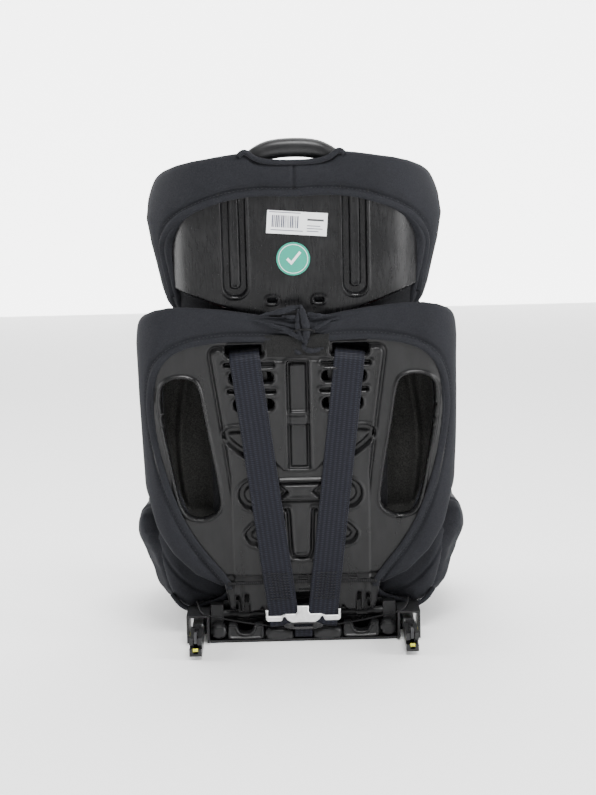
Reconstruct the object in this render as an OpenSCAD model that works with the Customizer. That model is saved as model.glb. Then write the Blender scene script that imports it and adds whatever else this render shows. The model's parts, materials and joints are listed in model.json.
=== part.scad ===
/* Child car seat with backrest, height-adjustable headrest, five-point harness and ISOFIX arms.
   +Z is up, the child faces +Y and the seat stands on z = 0. */

/* [Seat base] */
// Half the width of the seat base's hard tray
tray_half_w = 150; // [145:1:150]
// Height of the seat pan under the cushion
pan_z = 88; // [84:1:88]
// Front end of the seat cushion
front_y = 235; // [230:1:235]
// Half the width over the side bolsters
bolster_half_w = 220; // [216:1:224]

/* [Backrest] */
// Lean of the backrest at rest, in degrees
lean = 8; // [8:1:8]
// Half the width over the backrest cover
back_half_w = 209; // [205:1:212]
// Height of the backrest shell above its foot
back_h = 404; // [400:1:406]
// Thickness of the backrest panel
panel_t = 8; // [6:0.5:8]

/* [Headrest] */
// Half the width over the headrest cover
head_half_w = 185; // [182:1:187]
// Top of the headrest shell above the backrest's foot
head_top = 600; // [596:1:604]
// Thickness of the blow-moulded headrest wall
head_t = 5; // [4:0.5:5]

/* [Harness] */
// Width of the shoulder and lap webbing
web_w = 38; // [36:1:40]
// Width of the adjuster webbing
adjuster_w = 25; // [24:1:26]
// Thickness of all webbing
web_t = 1.6; // [1.2:0.1:1.8]

/* [ISOFIX] */
// Distance between the two connectors' middles
isofix_pitch = 280; // [280:1:280]
// Radius of the throat that takes the car's 6 mm anchor bar
throat_r = 3.1; // [3.05:0.05:3.2]

/* [Hidden] */
$fn = 48;
eps = 0.05;
wall = 4;
tray_h = 46;
tray_rear_y = -100;
shelf_rear_y = -148;
hinge_y = -118;
hinge_z = 32;
hinge_r = 6;
running = 0.05;
back_foot = [0, hinge_y, 36];
hinge_in_back = [-4 * sin(lean), -4 * cos(lean)];
panel_y = -22;
panel_front_y = panel_y + panel_t;
pad_y = 8;
pad_t = 22;
head_y = -6;
rod_y = 3.5;
rod_r = 3;
rod_x = 30;
lock_z = 258;
rack_x = 42.5;
buckle_y = 62;
isofix_x = isofix_pitch / 2;
connector_w = 16;
connector_z = [5, 29];
throat_z = 17;
throat_y = -222;
tip_y = -235;
hook_pivot = [-199, 24];
graphite = [0.13, 0.13, 0.14];
charcoal = [0.2, 0.2, 0.21];
soft_black = [0.09, 0.09, 0.1];
zinc = [0.8, 0.81, 0.82];
light_grey = [0.42, 0.43, 0.44];
red = [0.75, 0.08, 0.07];

// ---- helpers ----

// The backrest's own frame: its foot at the hinge, leaning back
module in_back() {
    translate(back_foot) rotate([lean, 0, 0]) children();
}

// An outline in x and z, given thickness from y0 to y1
module slab(y0, y1) {
    translate([0, y1, 0]) rotate([90, 0, 0]) linear_extrude(y1 - y0) children();
}

// An outline in y and z, given width from x0 to x1
module plank(x0, x1) {
    translate([x0, 0, 0]) rotate([90, 0, 90]) linear_extrude(x1 - x0) children();
}

module both() {
    children();
    mirror([1, 0, 0]) children();
}

module side(s) {
    if (s > 0) children();
    else mirror([1, 0, 0]) children();
}

// A whole outline from the points of its right half, listed from the bottom to the top
module twin(points) {
    n = len(points);
    polygon(concat(points, [for (i = [n - 1:-1:0]) [-points[i][0], points[i][1]]]));
}

module box(low, high) {
    translate(low) cube(high - low);
}

module x_rod(r, x0, x1, y, z) {
    translate([x0, y, z]) rotate([0, 90, 0]) cylinder(r = r, h = x1 - x0);
}

// A strip of webbing that follows points in y and z, with its thickness on the left of the way
function strip(points, t) = concat(points, [for (i = [len(points) - 1:-1:0])
    let (a = points[max(i - 1, 0)], b = points[min(i + 1, len(points) - 1)], d = b - a)
    points[i] + t * [-d[1], d[0]] / norm(d)]);

// ---- outlines in the backrest's frame ----

back_outline = [
    [0, 34], [31, 34], [34, 4], [50, 4], [57, 38], [63, 38], [71, 7], [92, 7], [101, 46],
    [152, 112], [180, 175], [194, 240], [198, 300], [196, 350], [184, 392], [168, back_h],
];
back_hem = [
    [93, 51], [145, 115], [172, 181], [186, 251], [188, 296], [181, 342], [155, 373], [100, 386],
];
back_edge = [
    [106, 42], [142, 62], [170, 92], [192, 124], [204, 158], [back_half_w, 190], [back_half_w, 375], [202, 397],
    [188, 411], [170, 414],
];
window = [
    [106, 156], [107, 148], [117, 140], [138, 142], [155, 156], [164, 216], [172, 262],
    [176, 309], [170, 322], [135, 324], [127, 309],
];
upper_pocket = [[75, 240], [92, 226], [97, 252], [90, 263], [78, 260]];
lower_pocket = [[62, 124], [74, 98], [84, 118], [80, 136], [68, 136]];
head_outline = [
    [36, 235], [36, 402], [64, 410], [90, 419], [122, 430], [155, 438], [176, 440], [176, 545],
    [162, 566], [142, 583], [118, 594], [95, head_top], [66, head_top], [60, 588],
];
head_hem = [
    [155, 453], [158, 492], [150, 516], [133, 539], [94, 557], [45, 564],
];
head_edge = [
    [150, 410], [161, 418], [171, 445], [179, 475], [183, 495], [head_half_w, 526], [184, 550],
    [172, 572], [150, 590], [125, 601], [97, 609], [66, 613],
];

// Side view of a headrest wing's cover
head_side = [[34, 424], [60, 414], [104, 418], [114, 434], [115, 532], [104, 546], [60, 564], [34, 576]];

// Plan of the headrest's wall: flat in the middle, then an arc forwards into each wing
head_plan = concat([[0, head_y], [97, head_y]], [for (a = [10:10:80])
    [97 + 72 * sin(a), head_y + 66 * (1 - cos(a))]], [[170, 70], [171, 112]]);

function pushed(points, d) = [for (i = [0:len(points) - 1])
    let (a = points[max(i - 1, 0)], b = points[min(i + 1, len(points) - 1)], t = (b - a) / norm(b - a))
    points[i] + d * [-t[1], t[0]]];

function reversed(points) = [for (i = [len(points) - 1:-1:0]) points[i]];

// A curve from left to right through its right half, whose first point is on the middle
function across(points) = concat([for (i = [len(points) - 1:-1:1]) [-points[i][0], points[i][1]]], points);

// Wall in plan between two distances from the headrest's rear surface
module head_wall(z0, z1, d0, d1) {
    translate([0, 0, z0]) linear_extrude(z1 - z0)
        polygon(concat(across(pushed(head_plan, d0)), reversed(across(pushed(head_plan, d1)))));
}

// ---- seat base ----

side_wall_x = 168;
side_wall = [
    [-84, 40], [-84, 120], [-70, 150], [-40, 158], [110, 158], [160, 136], [185, 90], [190, 40],
];

module isofix_way(grow) {
    both() box([isofix_x - 11 - grow, -170, 2 - grow], [isofix_x + 11 + grow, 60, 36 + grow]);
}

screw_places = [for (x = [-110, 110], y = [-81, 160]) [x, y]];
screw_r = 2.1;

module base_shell() {
    color(graphite) for (at = screw_places) translate([at[0], at[1], 3]) difference() {
        cylinder(r = 6, h = at[1] > 0 ? pan_z - wall - 1 : tray_h - 2 * wall);
        translate([0, 0, -1]) cylinder(r = screw_r, h = 14);
    }
    color(graphite) difference() {
        union() {
            box([-tray_half_w, tray_rear_y, 3], [tray_half_w, 200, tray_h]);
            box([-tray_half_w, -88, tray_h - eps], [tray_half_w, 205, pan_z]);
            both() box([107, hinge_y - 8, 3], [124, tray_rear_y + wall, tray_h]);
            both() plank(side_wall_x, side_wall_x + 6) polygon(side_wall);
            both() box([tray_half_w - wall, -80, 40], [side_wall_x + 2, 190, tray_h]);
        }
        box([-tray_half_w + wall, tray_rear_y + wall, 2], [tray_half_w - wall, 196, tray_h - 10]);
        box([-tray_half_w + 8, -82, 20], [tray_half_w - 8, 199, pan_z - wall]);
        isofix_way(1);
        x_rod(hinge_r, -123, 123, hinge_y, hinge_z);
        box([-20, 50, pan_z - 5], [20, 74, pan_z + 1]);
        box([-adjuster_w / 2 - 2, tray_rear_y - 1, 36 - eps], [adjuster_w / 2 + 2, -81, 41]);
        box([-adjuster_w / 2 - 2, 195, 48], [adjuster_w / 2 + 2, 206, 60]);
    }
}

// Open-ended boxes behind the tray that the ISOFIX arms slide through
module isofix_housings() {
    color(graphite) difference() {
        both() box([isofix_x - 15, -160, 3], [isofix_x + 15, tray_rear_y - eps, 40]);
        isofix_way(1);
    }
}

module bottom_tray() {
    color(charcoal) difference() {
        union() {
            box([-tray_half_w, tray_rear_y, 0], [tray_half_w, 200, 2.9]);
            box([-125, shelf_rear_y, 0], [125, tray_rear_y, 2.9]);
        }
        for (at = screw_places) translate([at[0], at[1], -1]) cylinder(r = screw_r, h = 5);
        both() for (y = [-30:22:120]) box([30, y, -1], [90, y + 8, 4]);
    }
}

// Two solid blocks beside the adjuster strap, and a notched box and a boss on each side of them
module rear_blocks() {
    color(light_grey) both() {
        difference() {
            box([13, shelf_rear_y, 3], [51, -126, 18]);
            box([19, shelf_rear_y - 1, 7], [45, shelf_rear_y + 3, 14]);
        }
        difference() {
            box([53, shelf_rear_y, 3], [100, -127, 23]);
            box([66, shelf_rear_y - 1, 11], [88, -120, 24]);
        }
        box([101.5, shelf_rear_y, 6], [124.5, -131, 21]);
    }
}

module hinge_bar() {
    color(graphite) x_rod(hinge_r, -123, 123, hinge_y, hinge_z);
}

cushion_side = [
    [-92, 88.1], [-92, 116], [-82, 128], [-20, 124], [60, 128], [150, 138], [195, 138],
    [222, 124], [233, 100], [front_y, 72], [231, 56], [222, 50], [208, 50], [208, 88.1],
];

module seat_cushion() {
    color(soft_black) difference() {
        plank(-147, 147) polygon(cushion_side);
        box([-22, 47, 80], [22, 77, 140]);
        box([-adjuster_w / 2 - 6, 205, 42], [adjuster_w / 2 + 6, 240, 82]);
    }
}

bolster_end = [
    [151, 14], [158, 4], [168, 14], [180, 40], [193, 75], [205, 112], [215, 138], [bolster_half_w, 156],
    [217, 173], [204, 183], [178, 183], [160, 173], [151, 146],
];
bolster_side = [
    [-90, 12], [-99, 60], [-100, 130], [-90, 168], [-66, 184], [120, 184], [172, 166],
    [212, 124], [230, 76], [230, 24], [214, 0], [-66, 0],
];

module bolster(s) {
    color(soft_black) side(s) difference() {
        intersection() {
            slab(-100, 230) polygon(bolster_end);
            plank(150, 230) polygon(bolster_side);
        }
        plank(side_wall_x - 0.5, side_wall_x + 6.5) offset(delta = 0.5) polygon(side_wall);
        box([tray_half_w, -81, 39.5], [side_wall_x + 3, 191, tray_h + 0.5]);
    }
}

module base_screws() {
    color(zinc) for (at = screw_places) translate([at[0], at[1], 0.2]) {
        cylinder(r = screw_r, h = 12);
        cylinder(r1 = 4, r2 = screw_r, h = 2);
    }
}

// ---- harness ----

lap_way = [[33, 56], [60, 44], [88, 20], [108, -16], [118, -56], [122, -94]];

module lap_strap(s) {
    color(soft_black) side(s) translate([0, 0, 150]) linear_extrude(web_w) polygon(strip(lap_way, web_t));
}

module crotch_strap() {
    color(soft_black) {
        box([-14, buckle_y - 1, 84], [14, buckle_y + 1, 151]);
        box([-17, buckle_y - 6, 80], [17, buckle_y + 6, 84 + eps]);
    }
}

module crotch_pad() {
    color(soft_black) hull() for (x = [-26, 26], z = [140, 196]) translate([x, buckle_y - 20, z])
        rotate([-90, 0, 0]) cylinder(r = 8, h = 8.5, $fn = 32);
}

module buckle_housing() {
    color(graphite) difference() {
        hull() for (x = [-22, 22], z = [158, 208]) translate([x, buckle_y - 11, z])
            rotate([-90, 0, 0]) cylinder(r = 7, h = 22, $fn = 32);
        box([-24, buckle_y - 3, 186], [24, buckle_y + 3, 216]);
        box([-14.5, buckle_y - 1.2, 150], [14.5, buckle_y + 1.2, 152]);
        box([-15.2, buckle_y + 2, 160], [15.2, buckle_y + 12, 180.2]);
    }
}

module buckle_button() {
    color(red) difference() {
        box([-15, buckle_y + 7, 160.2], [15, buckle_y + 12, 180]);
        box([-11, buckle_y + 11, 164], [11, buckle_y + 13, 176]);
    }
}

module coil(r, wire, h, turns) {
    linear_extrude(h, twist = -360 * turns, slices = turns * 14, $fn = 6) translate([r, 0]) circle(wire);
}

module buckle_spring() {
    color(zinc) translate([0, buckle_y + 2.2, 170]) rotate([-90, 0, 0]) coil(4, 0.5, 4.6, 4);
}

module tongue(s) {
    color(zinc) side(s) difference() {
        union() {
            box([2, buckle_y - 1.5, 188], [22, buckle_y + 1.5, 219]);
            box([2, buckle_y - 1.5, 218], [50, buckle_y + 1.5, 240]);
        }
        box([7, buckle_y - 3, 227], [45, buckle_y + 3, 233]);
        box([6, buckle_y - 3, 193], [16, buckle_y + 3, 199]);
    }
}

lever_pin = [228, 75];

module adjuster_housing() {
    color(graphite) difference() {
        union() {
            box([-18, 205.1, 48], [18, 224, 80]);
            both() box([13.2, 223, 70], [18, 232, 79]);
        }
        box([-adjuster_w / 2 - 1, 205, 52], [adjuster_w / 2 + 1, 225, 58]);
        box([-13, 215, 64], [13, 225, 81]);
        x_rod(2 + running, -19, 19, lever_pin[0], lever_pin[1]);
    }
}

module adjuster_lever() {
    color(charcoal) difference() {
        union() {
            x_rod(2, -17.5, 17.5, lever_pin[0], lever_pin[1]);
            box([-12.5, 219, 69.5], [12.5, 231, 77]);
            box([-10, 229, 62], [10, 234, 77]);
        }
        for (z = [64:3:70]) box([-8, 233.4, z], [8, 235, z + 1]);
    }
}

module adjuster_strap() {
    color(soft_black) plank(-adjuster_w / 2, adjuster_w / 2)
        polygon(strip([[-152, 22], [-152, 26], [-140, 39.8], [182, 39.8], [200, 54], [205, 55.6]], -web_t));
}

module pull_strap() {
    color(soft_black) plank(-adjuster_w / 2, adjuster_w / 2)
        polygon([[206, 54], [226, 54], [226, 20], [230, 16], [231.6, 17], [227.6, 22], [227.6, 55.6],
            [206, 55.6]]);
}

strap_top = 369;
strap_x = 66;

module shoulder_strap(s) {
    color(soft_black) in_back() side(s) intersection() {
        translate([strap_x, 0, strap_top]) rotate([0, 6.2, 0]) plank(-web_w / 2, web_w / 2)
            polygon(strip([[pad_y - 4, 1], [-20, 1], [-23.6, -3], [-23.6, -342], [-31, -364]], -web_t));
        slab(-30, 30) polygon([[4, -20], [120, -20], [120, 400], [4, 400]]);
    }
}

module chest_strap(s) {
    color(soft_black) in_back() side(s) translate([strap_x, 0, strap_top]) rotate([0, 10.5, 0])
        plank(-web_w / 2, web_w / 2) polygon(strip([[pad_y - 3.5, 1], [26, 1], [32, -6], [34, -40],
            [36, -90], [46, -128], [80, -168], [128, -188], [202, -202]], web_t));
}

module shoulder_pad(s) {
    color(soft_black) in_back() side(s) translate([strap_x, 0, strap_top]) rotate([0, 10.5, 0])
        translate([0, 39.5, -62]) rotate([2.4, 0, 0]) hull() for (x = [-24, 24], z = [-52, 44])
            translate([x, -7, z]) rotate([-90, 0, 0]) cylinder(r = 7, h = 14, $fn = 32);
}

module splitter_plate() {
    color(zinc) difference() {
        slab(-155, -152.5) union() {
            twin([[24, 29], [24, 33], [7, 37], [7, 49]]);
            twin([[26, 18], [26, 30], [50, 29], [50, 42], [46, 42], [46, 35], [24, 35]]);
        }
        slab(-160, -150) twin([[adjuster_w / 2 + 1, 21], [adjuster_w / 2 + 1, 25]]);
    }
}

// ---- ISOFIX ----

module isofix_frame() {
    color(zinc) {
        both() difference() {
            box([isofix_x - 7, -172, 6], [isofix_x + 7, -20, 28]);
            box([isofix_x - 5, -173, 8], [isofix_x + 5, -19, 26]);
        }
        x_rod(8, -isofix_x + 7 - eps, isofix_x - 7 + eps, -50, 17);
    }
}

// The connector's jaw with an open throat for the car's anchor bar
module connector(s) {
    color(graphite) side(s) difference() {
        box([isofix_x - 8, tip_y, connector_z[0]], [isofix_x + 8, -172.5, connector_z[1]]);
        x_rod(throat_r, isofix_x - 9, isofix_x + 9, throat_y, throat_z);
        box([isofix_x - 9, tip_y - 1, throat_z - throat_r], [isofix_x + 9, throat_y, throat_z + throat_r]);
        box([isofix_x - 3, tip_y - 1, 8], [isofix_x + 3, -184, 30]);
        x_rod(2.45 + running, isofix_x - 9, isofix_x + 9, hook_pivot[0], hook_pivot[1]);
        box([isofix_x - 6.2, -182, 20], [isofix_x + 6.2, -174.8, 30]);
    }
}

module indicator(s) {
    color([0.6, 0.78, 0.2]) side(s)
        box([isofix_x + 8.05, -200, 18], [isofix_x + 9.3, -184, 24]);
}

// The latch hook's outline about its pin, as it closes round the anchor bar
claw = [
    [12, 2], [8, -4], [-8, -4], [-16, -2.5], [-27.5, -2.5], [-29, -11], [-33, -11], [-34, 3], [-6, 4.6],
];
open_angle = 14;

// The hook on its pin, swung up clear of the throat
module hook(s) {
    color(zinc) side(s) translate([0, hook_pivot[0], hook_pivot[1]]) {
        rotate([-open_angle, 0, 0]) plank(isofix_x - 2, isofix_x + 2) polygon(claw);
        x_rod(2.45, isofix_x - 8, isofix_x + 8, 0, 0);
    }
}

module isofix_button(s) {
    color(red) side(s) box([isofix_x - 6, -181.8, 23], [isofix_x + 6, -175, 33]);
}

// ---- backrest ----

module slots(grow) {
    both() for (row = [[42, 92, 359, 380], [32, 87, 323, 337], [32, 83, 287, 301]])
        box([row[0] - grow, -60, row[2] - grow], [row[1] + grow, 60, row[3] + grow]);
}

back_wing = [
    [panel_front_y + eps, 162], [panel_front_y + eps, 392], [50, 396], [96, 378], [112, 344], [112, 212], [96, 182], [60, 168],
];

module back_shell() {
    color(charcoal) in_back() difference() {
        union() {
            slab(panel_y, panel_front_y) twin(back_outline);
            slab(panel_y - 2.5, panel_y + 1) twin([[14, 283], [14, 350]]);
            slab(panel_y - 4, panel_y + 1) twin([[16, 267], [16, 282]]);
            slab(panel_y - 2.5, panel_y + 1) twin([[10, 208], [14, 222], [14, 267]]);
            slab(panel_y - 4, panel_y + 1) twin([[24, 171], [20, 180], [24, 188]]);
        }
        slab(panel_y - 10, panel_front_y + 1) polygon(window);
        mirror([1, 0, 0]) slab(panel_y - 10, panel_front_y + 1) polygon(window);
        slots(0);
        both() slab(panel_y - 1, panel_y + 4) polygon(upper_pocket);
        both() slab(panel_y - 1, panel_y + 4) polygon(lower_pocket);
        both() translate([60, panel_y + 4, 168]) rotate([90, 0, 0]) cylinder(r = 20, h = 8);
        slab(panel_y - 1, panel_y + 3) twin([[15, 74], [15, 139]]);
    }
}

// Upright walls that carry the wing pads
module back_wings() {
    color(charcoal) in_back() both() plank(186, 191) polygon(back_wing);
}

// Hooks on the panel's fingers, open to the rear, that turn on the hinge bar
module back_hooks() {
    color(charcoal) in_back() both() for (x = [35, 72]) difference() {
        union() {
            box([x, panel_front_y + eps, 3], [x + 14, 12, 17]);
            x_rod(12, x, x + 14, hinge_in_back[0], hinge_in_back[1]);
        }
        x_rod(hinge_r + running, x - 1, x + 15, hinge_in_back[0], hinge_in_back[1]);
        box([x - 1, -40, -20], [x + 15, hinge_in_back[0], hinge_in_back[1]]);
        box([x - 1, -40, -20], [x + 15, panel_front_y + eps, 4]);
    }
}

module height_rack() {
    color(graphite) in_back() difference() {
        both() box([rack_x - 3, panel_front_y + 0.05, 216], [rack_x + 3, 0.3, 392]);
        for (z = [lock_z:24:lock_z + 120]) x_rod(3.4, -50, 50, rod_y, z);
    }
}

module back_cushion() {
    color(soft_black) in_back() difference() {
        slab(pad_y, pad_y + pad_t) twin([[104, 66], [122, 86], [124, 300], [120, 376], [104, 390]]);
        slots(1);
        slab(pad_y + pad_t - 3, pad_y + pad_t + 1) twin([[90, 204], [90, 207]]);
    }
}

wing_plan = [
    [132, 40], [183, 34], [184, 100], [178, 114], [164, 118], [146, 110], [134, 84],
];

module wing_pad(s) {
    color(soft_black) in_back() side(s) intersection() {
        translate([0, 0, 160]) linear_extrude(236) polygon(wing_plan);
        plank(120, 190) polygon([[-5, 166], [-5, 380], [30, 394], [60, 392], [100, 374], [118, 342],
            [118, 214], [102, 184], [62, 170]]);
    }
}

module back_cover() {
    color(soft_black) in_back() {
        slab(panel_y - 3.5, panel_y - 0.2) twin([[100, 386], [100, 414]]);
        both() slab(panel_y - 3.5, panel_y - 0.2) polygon(concat(back_hem, [[99, 386], [99, 414]], reversed(back_edge)));
        difference() {
            both() plank(192, back_half_w) polygon([[-25, 186], [-25, 374], [-10, 396], [50, 399],
                [100, 382], [118, 346], [118, 210], [100, 180], [60, 165], [-10, 160]]);
            slab(panel_y - 0.2, panel_front_y + 0.2) twin(back_outline);
        }
        slab(panel_y - 3.5, -9) twin([[176, back_h + 0.5], [176, 412], [170, 414]]);
    }
}

module elastic_band() {
    color(soft_black) in_back() slab(-28.4, -27) twin([[98, 46], [98, 51]]);
}

module felt_strip() {
    color(soft_black) in_back() slab(panel_y - 1.4, panel_y - 0.05) twin([[40, 362], [40, 380]]);
}

// ---- headrest ----

module headrest_shell() {
    color(graphite) in_back() difference() {
        intersection() {
            head_wall(230, 610, 0, head_t);
            slab(-40, 130) twin(head_outline);
        }
        both() slab(head_y - 1, head_y + 2.5) difference() {
            polygon([[66, 443], [72, 437], [84, 437], [94, 446], [94, 575], [60, 575], [60, 449]]);
            polygon([[70, 446], [81, 446], [81, 570], [70, 570]]);
        }
        both() box([23, head_y - 1, 424], [37, head_y + head_t + 1, 430]);
    }
}

// Plan of the pad's front face, from the middle round into a wing
pad_face = [
    [0, 32], [94, 32], [114, 42], [126, 60], [132, 84], [136, 106], [144, 115], [156, 117], [163, 110],
];
pad_rear = [[0, pad_y], [97, pad_y], [124, 14], [143, 28], [156, 50], [162, 78]];

module headrest_pad() {
    color(soft_black) in_back() intersection() {
        translate([0, 0, 404]) linear_extrude(190)
            polygon(concat(across(pad_rear), reversed(across(pad_face))));
        slab(-20, 130) twin([[100, 413.5], [124, 413.5], [132, 406], [158, 406], [164, 420], [164, 545],
            [152, 566], [120, 588], [62, 588]]);
    }
}

module headrest_cover() {
    color(soft_black) in_back() {
        intersection() {
            head_wall(405, 614, -4, -0.3);
            slab(-40, 40) difference() {
                twin(head_edge);
                twin(head_hem);
                twin([[64, 600], [64, 620]]);
                twin([[130, 380], [150, 438], [152, 453]]);
            }
        }
        intersection() {
            head_wall(405, 614, -13, -0.3);
            plank(-190, 190) polygon(head_side);
        }
    }
}

module rod_guide() {
    color(charcoal) in_back() difference() {
        both() box([rod_x - 6, head_y + head_t + 0.05, 470], [rod_x + 6, 7.8, 480]);
        both() translate([rod_x, rod_y, 460]) cylinder(r = rod_r + running, h = 30);
    }
}

module belt_guide(s) {
    color(red) in_back() side(s) difference() {
        box([98, 0.8, 396], [122, 30, 413]);
        box([97, 7, 400.5], [118, 26, 409.5]);
        box([97, 14, 395], [102, 20, 402]);
    }
}

// Arms that carry the belt guides on the headrest shell
module guide_arms() {
    color(charcoal) in_back() both() box([100, 0.8, 413.05], [112, 7.5, 446]);
}

module info_label() {
    color([0.93, 0.93, 0.92]) in_back() translate([2, head_y - 0.1, 528]) rotate([0, -2, 0])
        box([-39, -0.5, -15.5], [39, 0, 15.5]);
}

module round_sticker() {
    color([0.16, 0.62, 0.62]) in_back() translate([-3, head_y - 0.1, 481]) rotate([90, 0, 0])
        cylinder(r = 21.5, h = 0.5);
}

handle_r = 9;
handle_bend = 12;
handle_foot_x = 47;
handle_top_z = 626;

module release_handle() {
    straight = handle_foot_x - handle_bend;
    color(graphite) in_back() translate([0, rod_y, 0]) {
        x_rod(handle_r, -straight, straight, 0, handle_top_z);
        both() translate([straight, 0, handle_top_z - handle_bend]) rotate([90, 0, 0])
            rotate_extrude(angle = 90) translate([handle_bend, 0]) circle(handle_r);
        both() translate([handle_foot_x, 0, 600.1]) cylinder(r = handle_r, h = handle_top_z - handle_bend - 600.1);
    }
}

module lock_frame() {
    color(zinc) in_back() translate([0, rod_y, 0]) {
        both() translate([rod_x, 0, lock_z]) cylinder(r = rod_r, h = 597 - lock_z);
        both() translate([rod_x, 0, 436]) cylinder(r = 4.2, h = 3);
        x_rod(rod_r, -46, 46, 0, lock_z);
        box([-56, -3, 594], [56, 3, 600 - eps]);
    }
}

module release_springs() {
    color(zinc) in_back() both() translate([rod_x, rod_y, 440]) coil(3.7, 0.5, 29, 8);
}

base_shell();
isofix_housings();
bottom_tray();
rear_blocks();
hinge_bar();
seat_cushion();
bolster(-1);  // bolster_left
bolster(1);  // bolster_right
base_screws();
lap_strap(-1);  // lap_strap_left
lap_strap(1);  // lap_strap_right
crotch_strap();
crotch_pad();
buckle_housing();
buckle_button();
buckle_spring();
tongue(-1);  // tongue_left
tongue(1);  // tongue_right
adjuster_housing();
adjuster_lever();
adjuster_strap();
pull_strap();
isofix_frame();
connector(-1);  // connector_left
connector(1);  // connector_right
indicator(-1);  // indicator_left
indicator(1);  // indicator_right
hook(-1);  // hook_left
hook(1);  // hook_right
isofix_button(-1);  // isofix_button_left
isofix_button(1);  // isofix_button_right
back_shell();
back_wings();
back_hooks();
height_rack();
back_cushion();
wing_pad(-1);  // wing_pad_left
wing_pad(1);  // wing_pad_right
back_cover();
shoulder_strap(-1);  // shoulder_strap_left
shoulder_strap(1);  // shoulder_strap_right
chest_strap(-1);  // chest_strap_left
chest_strap(1);  // chest_strap_right
shoulder_pad(-1);  // shoulder_pad_left
shoulder_pad(1);  // shoulder_pad_right
splitter_plate();
elastic_band();
felt_strip();
headrest_shell();
headrest_pad();
headrest_cover();
rod_guide();
belt_guide(-1);  // belt_guide_left
belt_guide(1);  // belt_guide_right
guide_arms();
info_label();
round_sticker();
release_handle();
lock_frame();
release_springs();
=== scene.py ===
"""Looks of the child car seat: moulded shells, sewn covers, cushions, webbing and their materials."""

import json
import math

import bmesh
import bpy
import numpy as np
from mathutils import Matrix, Vector


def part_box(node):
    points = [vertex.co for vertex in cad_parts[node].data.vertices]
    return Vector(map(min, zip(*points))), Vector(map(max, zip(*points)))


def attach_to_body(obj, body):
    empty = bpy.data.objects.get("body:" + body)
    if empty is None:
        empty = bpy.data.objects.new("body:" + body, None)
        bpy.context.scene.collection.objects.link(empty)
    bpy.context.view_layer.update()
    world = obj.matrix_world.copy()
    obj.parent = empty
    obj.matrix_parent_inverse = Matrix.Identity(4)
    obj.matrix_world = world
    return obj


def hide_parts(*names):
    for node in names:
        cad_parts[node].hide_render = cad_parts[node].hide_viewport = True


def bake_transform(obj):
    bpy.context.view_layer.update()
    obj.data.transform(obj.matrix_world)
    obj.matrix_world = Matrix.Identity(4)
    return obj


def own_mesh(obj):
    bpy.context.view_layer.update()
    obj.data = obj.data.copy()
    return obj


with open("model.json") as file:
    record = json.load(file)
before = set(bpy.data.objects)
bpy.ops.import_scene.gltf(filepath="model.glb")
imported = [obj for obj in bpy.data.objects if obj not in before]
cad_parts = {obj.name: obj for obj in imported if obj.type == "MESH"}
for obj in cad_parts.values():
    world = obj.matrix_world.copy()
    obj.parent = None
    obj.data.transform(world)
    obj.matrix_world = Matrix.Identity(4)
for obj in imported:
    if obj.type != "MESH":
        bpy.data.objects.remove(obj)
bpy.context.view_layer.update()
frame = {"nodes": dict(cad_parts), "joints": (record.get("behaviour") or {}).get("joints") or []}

MM = 0.001
SIDES = ((-1, "left"), (1, "right"))
RAISE = next(j for j in frame["joints"] if j["name"] == "headrest_height")["axis"]
LEAN = math.atan2(-RAISE[1], RAISE[2])
BAR_LOW, BAR_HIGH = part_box("hinge_bar")
HINGE_Y = (BAR_LOW[1] + BAR_HIGH[1]) / 2 / MM
FOOT_ABOVE_HINGE = 4
FOOT_Z = (BAR_LOW[2] + BAR_HIGH[2]) / 2 / MM + FOOT_ABOVE_HINGE
PANEL_Y = -22
HEAD_Y = -6
ROD_X, ROD_Y = 30, 3.5
WEB_T = 1.7
rng = np.random.default_rng(7)


# ---- places ----

def back(points):
    """Points of the leaning backrest's own frame, in mm, as row-frame metres."""
    p = np.asarray(points, float)
    y = HINGE_Y + p[..., 1] * math.cos(LEAN) - p[..., 2] * math.sin(LEAN)
    z = FOOT_Z + p[..., 2] * math.cos(LEAN) + p[..., 1] * math.sin(LEAN)
    return np.stack([p[..., 0], y, z], -1) * MM


def upright(points):
    """Points in the row frame, in mm, as metres."""
    return np.asarray(points, float) * MM


def laid(place, x, y, z):
    """Points from x, y and z in mm, each a number or an array, put in place by back or upright."""
    return place(np.stack(np.broadcast_arrays(x, y, z), -1))


def flat_wall(place, y):
    """Puts the points of a flat wall whose rear face is at y."""
    return lambda x, z, depth: laid(place, x, y + depth, z)


def leaning_way(x, y, z):
    """A direction of the leaning frame, as a direction of the row frame."""
    return (back([x, y, z]) - back([0, 0, 0])) / MM


REAR = (0, -math.cos(LEAN), -math.sin(LEAN))
STRAIGHT_REAR = (0, -1, 0)


# ---- outlines and distances ----

def twin(half):
    """A whole outline from its right half, listed from the bottom to the top."""
    return np.array(half + [(-x, z) for x, z in reversed(half)], float)


def rounded(points, closed=True, passes=3):
    """Corner cutting: the outline with its corners worn round."""
    p = np.asarray(points, float)
    for _ in range(passes):
        nxt = np.roll(p, -1, 0)
        cut = np.stack([0.75 * p + 0.25 * nxt, 0.25 * p + 0.75 * nxt], 1).reshape(-1, p.shape[1])
        p = cut if closed else np.vstack([p[:1], cut[:-2], p[-1:]])
    return p


def run_length(p):
    """How far along a path each of its points is."""
    return np.concatenate([[0], np.cumsum(np.linalg.norm(np.diff(p, axis=0), axis=1))])


def unit(vectors):
    """Vectors brought to length 1."""
    return vectors / (np.linalg.norm(vectors, axis=-1, keepdims=True) + 1e-12)


def resample(points, step):
    """The same open path with points a step apart."""
    p = np.asarray(points, float)
    along = run_length(p)
    t = np.linspace(0, along[-1], max(2, int(round(along[-1] / step)) + 1))
    return np.stack([np.interp(t, along, column) for column in p.T], 1)


def worn(points, step, passes=3):
    """An open path with its corners worn round and its points a step apart."""
    return resample(rounded(points, closed=False, passes=passes), step)


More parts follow.
